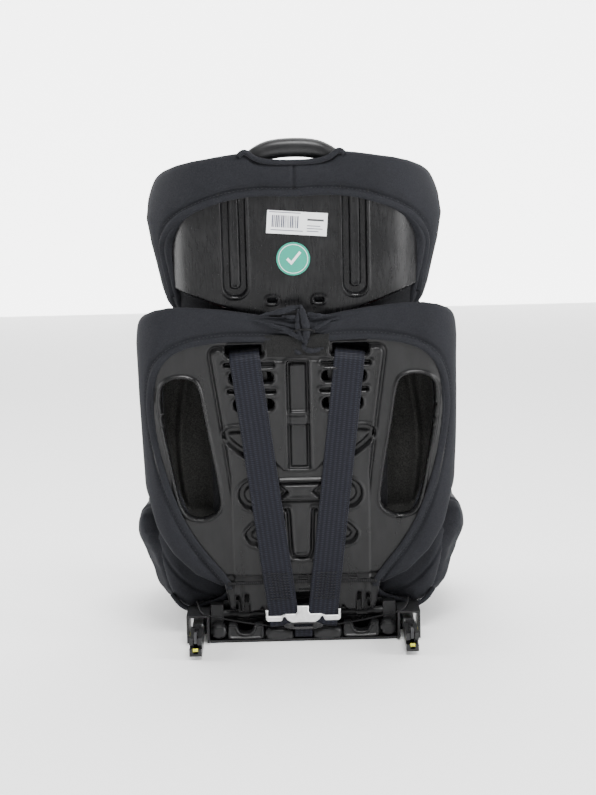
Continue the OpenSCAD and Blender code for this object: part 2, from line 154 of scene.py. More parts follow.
def line_distance(x, z, path, closed=False):
    """Distance from each (x, z) to a path."""
    p = np.asarray(path, float)
    q = np.roll(p, -1, 0) if closed else p[1:]
    best = np.full(x.shape, 1e9)
    for (ax, az), (bx, bz) in zip(p if closed else p[:-1], q):
        dx, dz = bx - ax, bz - az
        t = np.clip(((x - ax) * dx + (z - az) * dz) / (dx * dx + dz * dz + 1e-12), 0, 1)
        best = np.minimum(best, np.hypot(x - ax - t * dx, z - az - t * dz))
    return best


def inside(x, z, outline):
    """True where (x, z) lies in a closed outline."""
    p = np.asarray(outline, float)
    hit = np.zeros(x.shape, bool)
    for (ax, az), (bx, bz) in zip(p, np.roll(p, -1, 0)):
        crosses = (az > z) != (bz > z)
        with np.errstate(divide="ignore", invalid="ignore"):
            at = ax + (z - az) * (bx - ax) / (bz - az)
        hit ^= crosses & (x < at)
    return hit


def signed(x, z, outline):
    """Distance to a closed outline, negative inside it."""
    d = line_distance(x, z, outline, True)
    return np.where(inside(x, z, outline), -d, d)


def corner_distance(qx, qz, r):
    """Signed distance to a corner of radius r, from distances past its two sides moved in by r."""
    return np.hypot(np.maximum(qx, 0), np.maximum(qz, 0)) + np.minimum(np.maximum(qx, qz), 0) - r


def block_distance(x, z, x0, x1, z0, z1, r):
    """Signed distance to an upright rectangle with round corners."""
    cx, cz = (x0 + x1) / 2, (z0 + z1) / 2
    qx = np.abs(x - cx) - (x1 - x0) / 2 + r
    qz = np.abs(z - cz) - (z1 - z0) / 2 + r
    return corner_distance(qx, qz, r)


def ease(d, width):
    """1 well inside, 0 outside, with a smooth flank of that width."""
    t = np.clip(0.5 - d / width, 0, 1)
    return t * t * (3 - 2 * t)


def bump(d, width):
    """A smooth ridge along a line at distance d."""
    return np.exp(-((d / width) ** 2))


def steps(value, table):
    """Straight-line table look-up."""
    keys, values = zip(*table)
    return np.interp(value, keys, values)


# ---- meshes ----

def attach(obj, slot, body, *nodes):
    """Gives a piece its body (None leaves it free) and hides the CAD nodes it stands for. The slot is not
    used.
    """
    if body:
        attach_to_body(obj, body)
    if nodes:
        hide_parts(*nodes)
    return obj


def add_mesh(name, verts, faces, material, on=None, smooth=True, uv=None):
    """A mesh in the scene. on is what attach is told: its slot, its body and the CAD nodes it stands for."""
    data = bpy.data.meshes.new(name)
    data.from_pydata([tuple(v) for v in verts], [], [tuple(f) for f in faces])
    data.validate()
    if uv is not None:
        layer = data.uv_layers.new(name="UVMap")
        index = np.empty(len(data.loops), int)
        data.loops.foreach_get("vertex_index", index)
        layer.data.foreach_set("uv", np.asarray(uv, float)[index].ravel())
    obj = bpy.data.objects.new(name, data)
    bpy.context.scene.collection.objects.link(obj)
    data.materials.append(material)
    data.polygons.foreach_set("use_smooth", [smooth] * len(data.polygons))
    return attach(obj, *on) if on else obj


def grid_faces(n, m):
    """Faces of a grid of n by m vertices."""
    a, b = np.meshgrid(np.arange(n - 1), np.arange(m - 1), indexing="ij")
    corner = a * m + b
    return np.stack([corner, corner + m, corner + m + 1, corner + 1], -1).reshape(-1, 4)


def sleeve_faces(n, m, closed=False):
    """Faces of a sleeve of n rings with m points each, its ends capped unless it is closed."""
    faces = [(i * m + s, (i + 1) % n * m + s, (i + 1) % n * m + (s + 1) % m, i * m + (s + 1) % m)
             for i in range(n if closed else n - 1) for s in range(m)]
    return faces if closed else faces + [tuple(range(m)), tuple((n - 1) * m + s for s in reversed(range(m)))]


def two_skins(faces, k):
    """A patch's faces, those of its copy k vertices on, turned over, and the walls between them."""
    directed = {(int(a), int(b)) for f in faces for a, b in zip(f, np.roll(f, -1))}
    walls = [(b, a, a + k, b + k) for a, b in sorted(directed) if (b, a) not in directed]
    return [tuple(f) for f in faces] + [tuple(int(v) + k for v in reversed(f)) for f in faces] + walls


LIP = 2.2
PROBE = 0.2


def moulded_panel(name, place, x_range, z_range, step, outline, holes, relief, thickness, material, on):
    """A moulded wall: a grid cut to an outline with holes, its rear face shaped by relief, its edges rounded.

    place(x, z, depth) puts a point on the wall, with depth measured into the wall from its rear face."""
    x, z = np.meshgrid(*(np.arange(a, b + step, step) for a, b in (x_range, z_range)), indexing="ij")

    def edge(px, pz):
        return np.maximum.reduce([signed(px, pz, outline)] + [-hole(px, pz) for hole in holes])

    for _ in range(2):
        d = edge(x, z)
        gx = (edge(x + PROBE, z) - edge(x - PROBE, z)) / (2 * PROBE)
        gz = (edge(x, z + PROBE) - edge(x, z - PROBE)) / (2 * PROBE)
        near = np.abs(d) < 0.62 * step
        x, z = np.where(near, x - d * gx, x), np.where(near, z - d * gz, z)
    d = edge(x, z)
    faces = grid_faces(*x.shape)
    faces = faces[(d.ravel()[faces] < 0.3 * step).all(1)]
    inset = np.clip(LIP + d, 0, LIP)
    rolled = LIP - np.sqrt(np.maximum(LIP * LIP - inset * inset, 0))
    rear = place(x, z, relief(x, z) + rolled).reshape(-1, 3)
    front = place(x, z, np.full(x.shape, float(thickness))).reshape(-1, 3)
    used, faces = np.unique(faces, return_inverse=True)
    skins = two_skins(faces.reshape(-1, 4), len(used))
    return add_mesh(name, np.vstack([rear[used], front[used]]), skins, material, on)


def tube(name, path, radius, material, on, sides=10, closed=False, flat=1.0, normal=REAR):
    """A round or flattened tube along points in metres, of one radius in mm or a radius for each point."""
    p = np.asarray(path, float)
    tangent = unit(np.roll(p, -1, 0) - np.roll(p, 1, 0) if closed else np.gradient(p, axis=0))
    out = unit(np.cross(tangent, normal))
    up = np.cross(out, tangent)
    a = np.linspace(0, 2 * math.pi, sides, endpoint=False)[None, :, None]
    radius = np.broadcast_to(radius, len(p))[:, None, None] * MM
    rings = p[:, None] + radius * (np.cos(a) * out[:, None] + flat * np.sin(a) * up[:, None])
    return add_mesh(name, rings.reshape(-1, 3), sleeve_faces(len(p), sides, closed), material, on)


SELVEDGE = ((-1, 0), (-0.985, 0.7), (-0.95, 1), (-0.6, 1), (-0.2, 1), (0.2, 1), (0.6, 1), (0.95, 1),
            (0.985, 0.7),
            (1, 0))


def ribbon(name, centre, across, width, material, on, thickness=WEB_T, wave=0.0):
    """Webbing: a flat strip along a path in metres, with rounded selvedges and its length and width as UV."""
    p = np.asarray(centre, float)
    tangent = unit(np.gradient(p, axis=0))
    side = unit(across - (across * tangent).sum(1)[:, None] * tangent)
    half = width / 2 * MM
    u, lift = (np.array(SELVEDGE) * [half, thickness / 2 * MM]).T
    u, lift = np.append(u, u[-2:0:-1]), np.append(lift, -lift[-2:0:-1])
    wave = np.broadcast_to(wave, len(p))[:, None, None] * MM
    lifted = (lift[:, None] + wave) * np.cross(side, tangent)[:, None]
    verts = p[:, None] + u[:, None] * side[:, None] + lifted
    uv = np.stack(np.broadcast_arrays(u + half, run_length(p)[:, None]), -1).reshape(-1, 2)
    faces = [(f[0], *f[:0:-1]) for f in sleeve_faces(len(p), len(u))]
    return add_mesh(name, verts.reshape(-1, 3), faces, material, on, uv=uv)


STITCH = ((-0.5, 0.3, -0.4), (-0.25, 1, 0.8), (0.25, 1, 0.8), (0.5, 0.3, -0.4))


def stitches(name, path, on, normal=REAR, length=3.0, gap=2.2, width=0.55, lift=0.35):
    """A row of sewn stitches along a path in metres, standing a little proud of the cloth."""
    p = resample(path, (length + gap) / 2 * MM)
    up = np.asarray(normal, float)
    verts, faces = [], []
    for a, b in zip(p[:-1:2], p[1::2]):
        if np.linalg.norm(b - a) < 1e-9:
            continue
        d = unit(b - a)
        side = unit(np.cross(d, up))
        base = len(verts)
        for t, w, h in STITCH:
            c = (a + b) / 2 + d * t * length * MM
            verts += [c - side * w * width / 2 * MM, c + up * h * lift * MM, c + side * w * width / 2 * MM]
        for q in range(base, base + 9, 3):
            faces += [(q, q + 3, q + 4, q + 1), (q + 1, q + 4, q + 5, q + 2), (q + 2, q + 5, q + 3, q)]
    return add_mesh(name, verts, faces, THREAD, on)


# ---- materials ----

WAVE_PITCH = 0.314


class Surface:
    """A procedural material built on one Principled shader, with sizes in metres."""

    def __init__(self, name, colour, rough, metal=0.0, coat=0.0, sheen=0.0, specular=0.5):
        self.material = bpy.data.materials.new(name)
        self.material.use_nodes = True
        self.tree = self.material.node_tree
        self.shader = self.tree.nodes["Principled BSDF"]
        self.normal = None
        self.set(base_color=(*colour, 1), roughness=rough, metallic=metal, coat_weight=coat,
                 coat_roughness=0.12, sheen_weight=sheen, sheen_roughness=0.45)
        self.shader.inputs["Specular IOR Level"].default_value = specular

    def set(self, **values):
        """Sets the shader's inputs, each named in lower case with _ for a space."""
        for key, value in values.items():
            self.shader.inputs[key.replace("_", " ").title()].default_value = value

    def node(self, kind, source=None, into="Vector", inputs=None, **settings):
        """A new node with its settings and input values, fed by another node's output."""
        n = self.tree.nodes.new(kind)
        for key, value in settings.items():
            setattr(n, key, value)
        for key, value in (inputs or {}).items():
            n.inputs[key].default_value = value
        if source:
            self.tree.links.new(source, n.inputs[into])
        return n

    def place(self, stretch=(1, 1, 1), uv=False):
        source = self.node("ShaderNodeTexCoord").outputs["UV" if uv else "Object"]
        return self.node("ShaderNodeMapping", source, inputs={"Scale": stretch}).outputs["Vector"]

    def noise(self, size, detail=3.0, stretch=(1, 1, 1)):
        scale = {"Scale": 1 / size, "Detail": detail}
        return self.node("ShaderNodeTexNoise", self.place(stretch), inputs=scale).outputs["Fac"]

    def cells(self, size, stretch=(1, 1, 1)):
        scale = {"Scale": 1 / size}
        return self.node("ShaderNodeTexVoronoi", self.place(stretch), inputs=scale).outputs["Distance"]

    def ribs(self, pitch, axis, waver):
        """Ribs across a piece's UV, wavering a little."""
        scale = {"Scale": WAVE_PITCH / pitch, "Distortion": waver}
        wave = self.node("ShaderNodeTexWave", self.place(uv=True), inputs=scale, bands_direction=axis)
        return wave.outputs["Fac"]

    def span(self, fac, a, b, low=0.3, high=0.7):
        """Runs from a to b while fac runs from low to high."""
        limits = {"From Min": low, "From Max": high, "To Min": a, "To Max": b}
        return self.node("ShaderNodeMapRange", fac, "Value", limits).outputs["Result"]

    def times(self, a, b):
        n = self.node("ShaderNodeMath", a, 0, operation="MULTIPLY")
        self.tree.links.new(b, n.inputs[1])
        return n.outputs[0]

    def vary(self, key, fac, a, b, low=0.3, high=0.7):
        self.tree.links.new(self.span(fac, a, b, low, high), self.shader.inputs[key])

    def tint(self, fac, one, two, low=0.3, high=0.7):
        ends, share = {"A": (*one, 1), "B": (*two, 1)}, self.span(fac, 0, 1, low, high)
        n = self.node("ShaderNodeMix", share, "Factor", ends, data_type="RGBA")
        self.tree.links.new(n.outputs["Result"], self.shader.inputs["Base Color"])

    def bump(self, height, distance, strength=1.0):
        """Adds relief of that many metres to what the surface already has."""
        size = {"Distance": distance, "Strength": strength}
        n = self.node("ShaderNodeBump", height, "Height", size)
        if self.normal:
            self.tree.links.new(self.normal, n.inputs["Normal"])
        self.normal = n.outputs["Normal"]
        self.tree.links.new(self.normal, self.shader.inputs["Normal"])

    def grain(self, size, distance, strength, detail=2, stretch=(1, 1, 1)):
        self.bump(self.noise(size, detail, stretch), distance, strength)


def polished_shell():
    """Blow-moulded black polyethylene: glossy, with long upright scuffs."""
    s = Surface("polished_shell", (0.006, 0.006, 0.0065), 0.3, specular=0.2)
    scuffs = s.noise(0.012, 6, (5, 5, 0.16))
    haze = s.noise(0.05, 3)
    s.tint(s.times(scuffs, haze), (0.004, 0.004, 0.0045), (0.013, 0.013, 0.0137), 0.2, 0.42)
    s.vary("Roughness", scuffs, 0.25, 0.34)
    s.grain(0.0011, 0.00008, 0.5)
    s.grain(0.045, 0.0016, 0.5, 2, (1, 1, 0.5))
    s.bump(scuffs, 0.00006, 0.3)
    return s.material


def satin_shell():
    """Black moulded polyethylene with a fine grain and dusty wear."""
    s = Surface("satin_shell", (0.010, 0.010, 0.0105), 0.3, specular=0.24)
    dust = s.noise(0.028, 6, (1.6, 1.6, 0.5))
    s.tint(dust, (0.006, 0.006, 0.0064), (0.013, 0.013, 0.0135), 0.35, 0.75)
    s.vary("Roughness", dust, 0.25, 0.4)
    s.grain(0.0009, 0.0001, 0.6)
    s.grain(0.06, 0.0012, 0.4)
    return s.material


def hard_plastic(name, colour, rough, worn=1.5, shine=0.2):
    """Injection-moulded plastic with a fine grain and light rubbing."""
    s = Surface(name, colour, rough, specular=shine)
    rub = s.noise(0.016, 5)
    s.tint(rub, colour, tuple(min(1, c * worn) for c in colour), 0.45, 0.8)
    s.vary("Roughness", rub, rough, rough + 0.14)
    s.grain(0.0008, 0.00006, 0.6)
    return s.material


def knit(name, colour, pale, pitch=0.0011):
    """Smooth warp-knit cover cloth laminated to foam: fine wales, soft sheen and a little lint."""
    s = Surface(name, colour, 0.86, sheen=0.02, specular=0.08)
    s.tint(s.noise(0.0016, 4), colour, pale, 0.35, 0.75)
    s.bump(s.cells(pitch, (1, 1, 0.7)), 0.00022, 0.7)
    s.grain(0.0035, 0.0002, 0.4, 3)
    s.grain(0.035, 0.0012, 0.35)
    return s.material


def webbing(name, colour, pale, shine=0.42):
    """Woven polyester webbing: crosswise ribs, lengthwise warp and glossy yarn."""
    s = Surface(name, colour, shine, sheen=0.02, specular=0.14)
    cross = s.ribs(0.0027, "Y", 1.2)
    warp = s.ribs(0.0062, "X", 0.8)
    s.tint(s.times(cross, warp), colour, pale, 0.1, 0.8)
    s.vary("Roughness", s.noise(0.004, 3), shine - 0.06, shine + 0.16)
    s.bump(cross, 0.0004, 0.7)
    s.bump(warp, 0.0002, 0.4)
    s.grain(0.0006, 0.0001, 0.5)
    return s.material


def felt():
    """Needled felt strip, matte with loose fibres."""
    s = Surface("felt", (0.01, 0.01, 0.01), 0.95, sheen=0.08, specular=0.1)
    fibres = s.noise(0.0016, 6, (3, 3, 0.4))
    s.tint(fibres, (0.006, 0.006, 0.006), (0.02, 0.02, 0.02))
    s.bump(fibres, 0.0006, 0.9)
    return s.material


def bare_metal(name, colour, rough):
    """Zinc-plated steel with faint spangle and brushed wear."""
    s = Surface(name, colour, rough, metal=0.85)
    s.tint(s.noise(0.006, 4), tuple(c * 0.8 for c in colour), colour)
    s.vary("Roughness", s.noise(0.003, 4, (6, 1, 1)), rough, rough + 0.2)
    s.grain(0.0012, 0.00005, 0.5, 3, (5, 1, 1))
    return s.material


def printed(name, colour, rough=0.35):
    """Coated paper or vinyl, nearly smooth."""
    s = Surface(name, colour, rough, coat=0.2)
    s.vary("Roughness", s.noise(0.01, 3), rough, rough + 0.12)
    s.grain(0.004, 0.00005, 0.4)
    return s.material


POLISHED = polished_shell()
SATIN = satin_shell()
PLASTIC = hard_plastic("black_plastic", (0.013, 0.013, 0.0137), 0.3, shine=0.3)
GREY = hard_plastic("grey_plastic", (0.04, 0.041, 0.043), 0.4, shine=0.3)
RED = hard_plastic("red_plastic", (0.42, 0.01, 0.01), 0.32, 1.15)
GREEN = hard_plastic("signal_green", (0.62, 0.62, 0.04), 0.3, 1.1)
COVER = knit("cover_knit", (0.0135, 0.0140, 0.0165), (0.020, 0.0206, 0.024))
LINER = knit("liner_mesh", (0.012, 0.0123, 0.0135), (0.021, 0.0215, 0.0235), 0.0019)
DARK_MESH = knit("window_mesh", (0.010, 0.010, 0.0098), (0.032, 0.032, 0.030), 0.0024)
WEB = webbing("navy_webbing", (0.0058, 0.0062, 0.0098), (0.0155, 0.0168, 0.025))
BINDING = webbing("hem_binding", (0.006, 0.006, 0.0065), (0.015, 0.015, 0.016), 0.6)
FELT = felt()
THREAD = hard_plastic("sewing_thread", (0.02, 0.02, 0.022), 0.6)
ZINC = bare_metal("zinc_plate", (0.86, 0.86, 0.85), 0.3)
# Dark steel: the ISOFIX hooks' own finish. On lock_frame this dark colour is painted shade for the headrest
# slots it shows through.
STEEL = bare_metal("steel_bar", (0.10, 0.10, 0.105), 0.3)
PAPER = printed("label_paper", (0.86, 0.87, 0.88))
INK = printed("label_ink", (0.035, 0.035, 0.08), 0.5)
TEAL = printed("sticker_teal", (0.002, 0.29, 0.2), 0.3)


# ---- the backrest's and the headrest's plans ----

def plan_curve(flat, arc_w, arc_d, y0, tip):
    """Right half of a plan: flat, then a quarter of an ellipse forwards, then on to the wing's tip."""
    a = np.radians(np.arange(0, 81, 2.0))
    arc = np.stack([flat + arc_w * np.sin(a), y0 + arc_d * (1 - np.cos(a))], 1)
    path = resample(np.vstack([[[0, y0]], arc, [tip]]), 1.0)
    step = unit(np.gradient(path, axis=0))
    return run_length(path), path, np.stack([step[:, 1], -step[:, 0]], 1)


HEAD_PLAN = plan_curve(97, 72, 66, HEAD_Y, (171, 112))
BACK_PLAN = plan_curve(168, 34, 34, PANEL_Y, (203, 116))


def on_plan(plan, s, z, rise):
    """A point of the leaning frame: s along the plan from the middle, z up, rise out of the rear face."""
    along, path, normal = plan
    a = np.abs(s)
    x, y = (np.interp(a, along, path[:, k]) + rise * np.interp(a, along, normal[:, k]) for k in (0, 1))
    return np.stack(np.broadcast_arrays(np.sign(s) * x, y, z), -1)


def s_at(plan, x):
    """Distance along the plan at which it reaches |x|."""
    return np.interp(np.abs(x), plan[1][:, 0], plan[0]) * np.sign(x)


# ---- moulded shells ----

BACK_OUTLINE = twin([(0, 34), (29, 34), (33, 4), (50, 4), (53, 15), (57, 9), (71, 7), (72.5, 31), (75, 34),
                     (77.5, 31), (78, 6), (83, 6), (84, 29), (86.5, 32), (89, 29), (90, 7), (97, 11),
                     (104, 48),
                     (152, 112), (184, 175), (200, 240), (204, 300), (202, 350), (190, 386), (170, 397)])
WINDOW = rounded([(104, 166), (107, 149), (122, 139), (140, 139), (153, 148), (160, 172), (167, 216),
                  (177, 262),
                  (180, 306), (175, 322), (160, 330), (140, 329), (129, 321), (122, 270)], passes=3)
TUCK_FROM, TUCK = 64, 0.42
WINDOW_RIM = [(100, 114), (158, 117), (179, 136), (188, 190), (189, 330), (184, 344), (112, 344), (104, 300)]
SLOT_ROWS = ((42, 93, 357, 374), (31, 88, 323, 338), (31, 83, 287, 302))
SLIT_ROWS = ((29, 95, 344.5, 350), (28, 91, 309.5, 315))
CREST = ((0, 72), (55, 72.5), (242, 96), (356, 111), (420, 116))
CREST_TOP, CREST_ROUND = 368, 9
UPPER_POCKET = rounded([(58, 264), (92, 264), (99, 258), (99, 246), (73, 224), (58, 218)], passes=2)
LOWER_POCKET = rounded([(44, 133), (60, 133), (74, 119), (74, 112), (66, 101), (44, 99)], passes=2)
WEDGE = [(15, 212), (17.5, 204), (20, 204), (37, 221), (43, 250), (53, 351), (15, 351)]
BOW_TIE = [(-40, 165), (26, 165), (15, 175), (26, 185), (-40, 185)]
BOW_BAR = (-40, 29, 188.5, 193)
U_GROOVE = [(20, 150), (17, 150), (16, 144), (14, 92), (11, 84), (0, 83)]
SPINE, SPINE_RIB, SPINE_BRIDGE = (-40, 14.2, 206, 351), (-40, 10.6, 209, 347), (-40, 14.6, 266, 284)
RING_X, RING_Z, RING_R = 61, 171, 20
SLOT_CORNER, SLIT_CORNER = 6.5, 2.7


def window_distance(x, z):
    return signed(np.abs(x), z, WINDOW)


def slot_distance(row):
    return lambda x, z: block_distance(np.abs(x), z, *row, r=SLOT_CORNER)


def pressed(d, deep, flank, rim, out, wide=1.7):
    """A recess so deep inside d = 0, with a raised rim that runs round it at distance out."""
    return deep * ease(d, flank) - rim * bump(d - out, wide)


def back_relief(x, z):
    """Depth of the backrest panel's mouldings, in mm, positive into the wall."""
    a = np.abs(x)
    edge, top = a - steps(z, CREST) + CREST_ROUND, z - CREST_TOP + CREST_ROUND
    crest = corner_distance(edge, top, CREST_ROUND)
    crest = np.where(a > 90, crest, np.minimum(crest, -9))
    depth = -3.8 * ease(crest, 2.4) - 1.8 * bump(crest + 3.4, 1.7) + 2.4 * bump(crest - 2.4, 1.7)
    for row in SLOT_ROWS:
        depth -= 2.2 * bump(slot_distance(row)(x, z) - 2.4, 1.6) * ease(z - 369, 4)
    for row in SLIT_ROWS:
        depth += pressed(block_distance(a, z, *row, r=SLIT_CORNER), 5.5, 1.4, 1.9, 2.1, 1.5)
    depth -= 3.4 * bump(window_distance(x, z) - 2.4, 1.8)
    spine = block_distance(a, z, *SPINE, r=2)
    depth += pressed(spine, 5.0, 2.2, 2.0, 2.0)
    depth -= 3.2 * ease(block_distance(a, z, *SPINE_RIB, r=2), 2.2)
    depth -= 5.6 * ease(block_distance(a, z, *SPINE_BRIDGE, r=2.5), 2.2)
    depth += 1.4 * bump(z - 279.5, 1.3) * ease(a - 12, 3)
    depth -= 2.5 * ease(signed(a, z, WEDGE), 1.8) * ease(-spine, 2)
    tie = signed(a, z, BOW_TIE)
    depth -= 4.6 * ease(tie, 2.2) + 1.4 * bump(tie + 2.4, 1.6) - 2.4 * bump(tie - 2.6, 1.7)
    depth -= 4.4 * ease(block_distance(a, z, *BOW_BAR, r=1.5), 1.8)
    groove = line_distance(a, z, U_GROOVE)
    depth += 5.0 * bump(groove, 2.1) - 2.2 * bump(groove - 4.2, 1.7)
    ring = np.hypot(a - RING_X, z - RING_Z) - RING_R
    depth += pressed(ring, 6.4, 2.2, 2.4, 2.2) - 2.5 * ease(ring + 8, 3)
    for pocket in (UPPER_POCKET, LOWER_POCKET):
        d = signed(a, z, pocket)
        depth += pressed(d, 6.4, 2.2, 2.4, 2.2) - 2.8 * ease(d + 8, 2.5)
    depth += 3.0 * bump(a - 81.5, 2.6) * ease(z - 50, 8) - 1.6 * bump(a - 42, 2.5) * ease(z - 50, 8)
    depth += 2.6 * bump(z - 57, 1.9) * ease(a - 112, 6) - 1.6 * bump(z - 36, 3) * ease(a - 50, 8)
    depth += 0.35 * np.sin(x / 23 + 1.3) * np.sin(z / 31)
    return depth * ease(z - 376, 4)


def back_wall(x, z, depth):
    return back(on_plan(BACK_PLAN, s_at(BACK_PLAN, x), z, -depth))


def make_back_shell():
    moulded_panel("back_shell_panel", back_wall, (-206, 206), (2, 400), 1.5, BACK_OUTLINE,
                  [window_distance] + [slot_distance(row) for row in SLOT_ROWS], back_relief, 9, SATIN,
                  ("shell_satin", "backrest", "back_shell"))


HEAD_OUTLINE = twin([(0, 236), (36, 236), (36, 400), (50, 406), (66, 410), (90, 418), (122, 429), (158, 438),
                     (190, 441), (198, 480), (198, 546), (184, 566), (160, 582), (128, 593), (97, 599),
                     (66, 600),
                     (58, 588)])
GROOVE = (62, 92, 434, 640)
RIB = (70.5, 83.5, 443, 640)
HEAD_SLOTS = (24, 36, 424, 430)


def head_slots(s, z):
    return block_distance(np.abs(s), z, *HEAD_SLOTS, r=2.5)


def head_relief(s, z):
    """Depth of the headrest shell's two ribbed channels and its rims, in mm."""
    a = np.abs(s)
    channel = block_distance(a, z, *GROOVE, r=13)
    rib = block_distance(a, z, *RIB, r=5)
    depth = pressed(channel, 6.4, 2.4, 2.4, 2.4, 1.8)
    depth -= (5.2 * ease(rib, 2.2) + 1.0 * bump(rib + 2.0, 1.6)) * ease(channel, 2.4)
    depth -= 2.0 * bump(head_slots(s, z) - 2.0, 1.6)
    return depth + 0.5 * np.sin(s / 31 + 0.6) * np.sin(z / 37 + 1)


def head_wall(s, z, depth):
    return back(on_plan(HEAD_PLAN, s, z, -depth))


def window_lining(x, z, depth):
    """Where the dark cloth behind a window lies: hollow, with one long upright fold."""
    a = np.abs(x)
    fold = a - 145 - 11 * np.cos((z - 225) / 62)
    hollow = 26 - 12 * ease(-(a - 184), 26) - 7 * ease(a - 122, 12)
    y = PANEL_Y + 20 + hollow - 7.5 * bump(fold, 5.5) + 3.0 * bump(fold - 8, 3.0)
    y -= 15 * ease(6 - window_distance(x, z), 9)
    return laid(back, x, y + depth, z)


def make_window_linings():
    """Dark cloth that closes the backrest's windows and its top slots from inside."""
    for side, name in SIDES:
        moulded_panel("window_lining_" + name, window_lining, sorted((side * 98, side * 192)), (112, 346),
                      2.0, np.array(WINDOW_RIM) * [side, 1], [], lambda x, z: 0.3 * np.sin(z / 9), 2.0,
                      DARK_MESH, ("cover_fabric", "backrest"))
        moulded_panel("slot_lining_" + name, flat_wall(back, 9), sorted((side * 36, side * 100)), (348, 390),
                      3, np.array(bar(38, 98, 350, 388)) * [side, 1], [], lambda x, z: 0.2 * np.sin(x / 5),
                      1.5, LINER, ("cover_fabric", "backrest"))


def bar(x0, x1, z0, z1):
    return [(x0, z0), (x1, z0), (x1, z1), (x0, z1)]


def make_headrest_shell():
    moulded_panel("headrest_shell_skin", head_wall, (-198, 198), (234, 602), 1.6, HEAD_OUTLINE, [head_slots],
                  head_relief, 5.5, POLISHED, ("shell_black", "headrest", "headrest_shell"))


def soften(obj, width):
    """A small round on a hard part's edges."""
    bevel = obj.modifiers.new("edge_round", "BEVEL")
    bevel.width = width * MM
    bevel.segments = 3
    bevel.limit_method = "ANGLE"
    bevel.angle_limit = math.radians(35)
    bevel.harden_normals = False


# ---- covers ----

BACK_HEM = [(93, 40), (93, 51), (145, 115), (172, 181), (186, 251), (188, 296), (181, 341), (157, 368),
            (102, 378), (54, 377.5), (22, 375), (0, 373)]
HEAD_HEM = [(156, 428), (157, 453), (158, 492), (150, 516), (133, 539), (94, 557), (45, 564), (0, 561)]
HEAD_WIDTH = ((404, 0.91), (418, 0.95), (437, 0.985), (471, 1.03), (493, 1.06), (526, 1.085), (548, 1.065),
              (571, 1.025), (600, 0.97))
HEAD_TOP = ((0, 606.5), (40, 606.5), (50, 609), (56, 614), (62, 618), (80, 616), (97, 613.5), (128, 608),
            (155, 601), (178, 593), (200, 583), (230, 570), (268, 552))
HEAD_BOTTOM = ((0, 436), (97, 436), (122, 428), (145, 414), (160, 405), (190, 404), (235, 410), (268, 424))
BACK_WIDTH = ((60, 0.985), (200, 0.985), (300, 1.0), (372, 1.0), (420, 0.985))
BACK_TOP = ((0, 407), (28, 408), (60, 414), (95, 419.5), (140, 423.5), (165, 423.5), (185, 420), (205, 413),
            (225, 405), (245, 399), (270, 393), (298, 380), (328, 348))
BACK_BOTTOM = ((0, 64), (88, 64), (97, 50), (106, 42), (142, 60), (170, 88), (192, 120), (206, 156),
               (224, 166),
               (268, 168), (298, 180), (328, 212))


def hem_line(points):
    """A hem's whole path, left to right over the top, worn round."""
    return worn(points[:-1] + [(-x, z) for x, z in points[::-1]], 2.0)


HEAD_INNER = ((0, -9), (265, -8))
BACK_INNER = ((0, -13), (180, -13), (224, -19), (330, -19))
HIDDEN_RIM = 8.0


def cover_rise(h, hidden, full):
    """How far a cover stands off its shell at distance h outside its hem's inner edge."""
    body = 2.0 + (full - 2.0) * (1 - np.exp(-np.maximum(h - 11, 0) / 9))
    rolled = np.where(h < 11, 2.2, body) - 1.6 * bump(h - 12.2, 1.3)
    return hidden + (rolled - hidden) * ease(-h - 0.5, 3.0)


def squeezed(p, s, z, width):
    """Points of a cover drawn in towards the middle, fully on the wings and not at all between them."""
    p = np.array(p)
    p[..., 0] *= 1 - (1 - steps(z, width)) * ease(-(np.abs(s) - 150), 110)
    return p


def wrapped_cover(name, plan, top, bottom, hem, hidden, full, inner, width, folds, columns, rows, on):
    """A sewn cover: one closed skin that runs from under the shell's edge, round it and back inside."""
    length = plan[0][-1]
    s = np.linspace(-1, 1, columns)
    s = np.sign(s) * (1 - (1 - np.abs(s)) ** 1.08) * length
    v = 0.35 * (0.5 - 0.5 * np.cos(np.linspace(0, math.pi, rows))) + 0.65 * np.linspace(0, 1, rows)
    ss, vv = np.meshgrid(s, v, indexing="ij")
    low, high, deep = (steps(np.abs(ss), table) for table in (bottom, top, inner))
    zz = low + (high - low) * vv
    puff = np.clip((1 - np.abs(2 * vv - 1) ** 14) ** 0.5 * (1 - np.abs(ss / length) ** 26) ** 0.5, 0, 1)
    edge = np.stack([s_at(plan, hem[:, 0]), hem[:, 1]], 1)
    h = signed(ss, zz, np.vstack([edge, [[edge[-1, 0], -200], [edge[0, 0], -200]]]))
    rise = cover_rise(h, hidden, full) + folds(ss, zz, h)
    middle = (rise + deep) / 2

    def skin(face):
        points = on_plan(plan, ss, zz, middle + (face - middle) * puff)
        return back(squeezed(points, ss, zz, width)).reshape(-1, 3)

    faces = grid_faces(*ss.shape)
    faces = faces[(h.ravel()[faces] > -HIDDEN_RIM).all(1)]
    obj = add_mesh(name, np.vstack([skin(rise), skin(deep)]), two_skins(faces, ss.size), COVER, on)
    mesh = bmesh.new()
    mesh.from_mesh(obj.data)
    bmesh.ops.delete(mesh, geom=[v for v in mesh.verts if not v.link_faces], context="VERTS")
    bmesh.ops.remove_doubles(mesh, verts=mesh.verts, dist=0.00002)
    bmesh.ops.recalc_face_normals(mesh, faces=mesh.faces)
    mesh.to_mesh(obj.data)
    mesh.free()


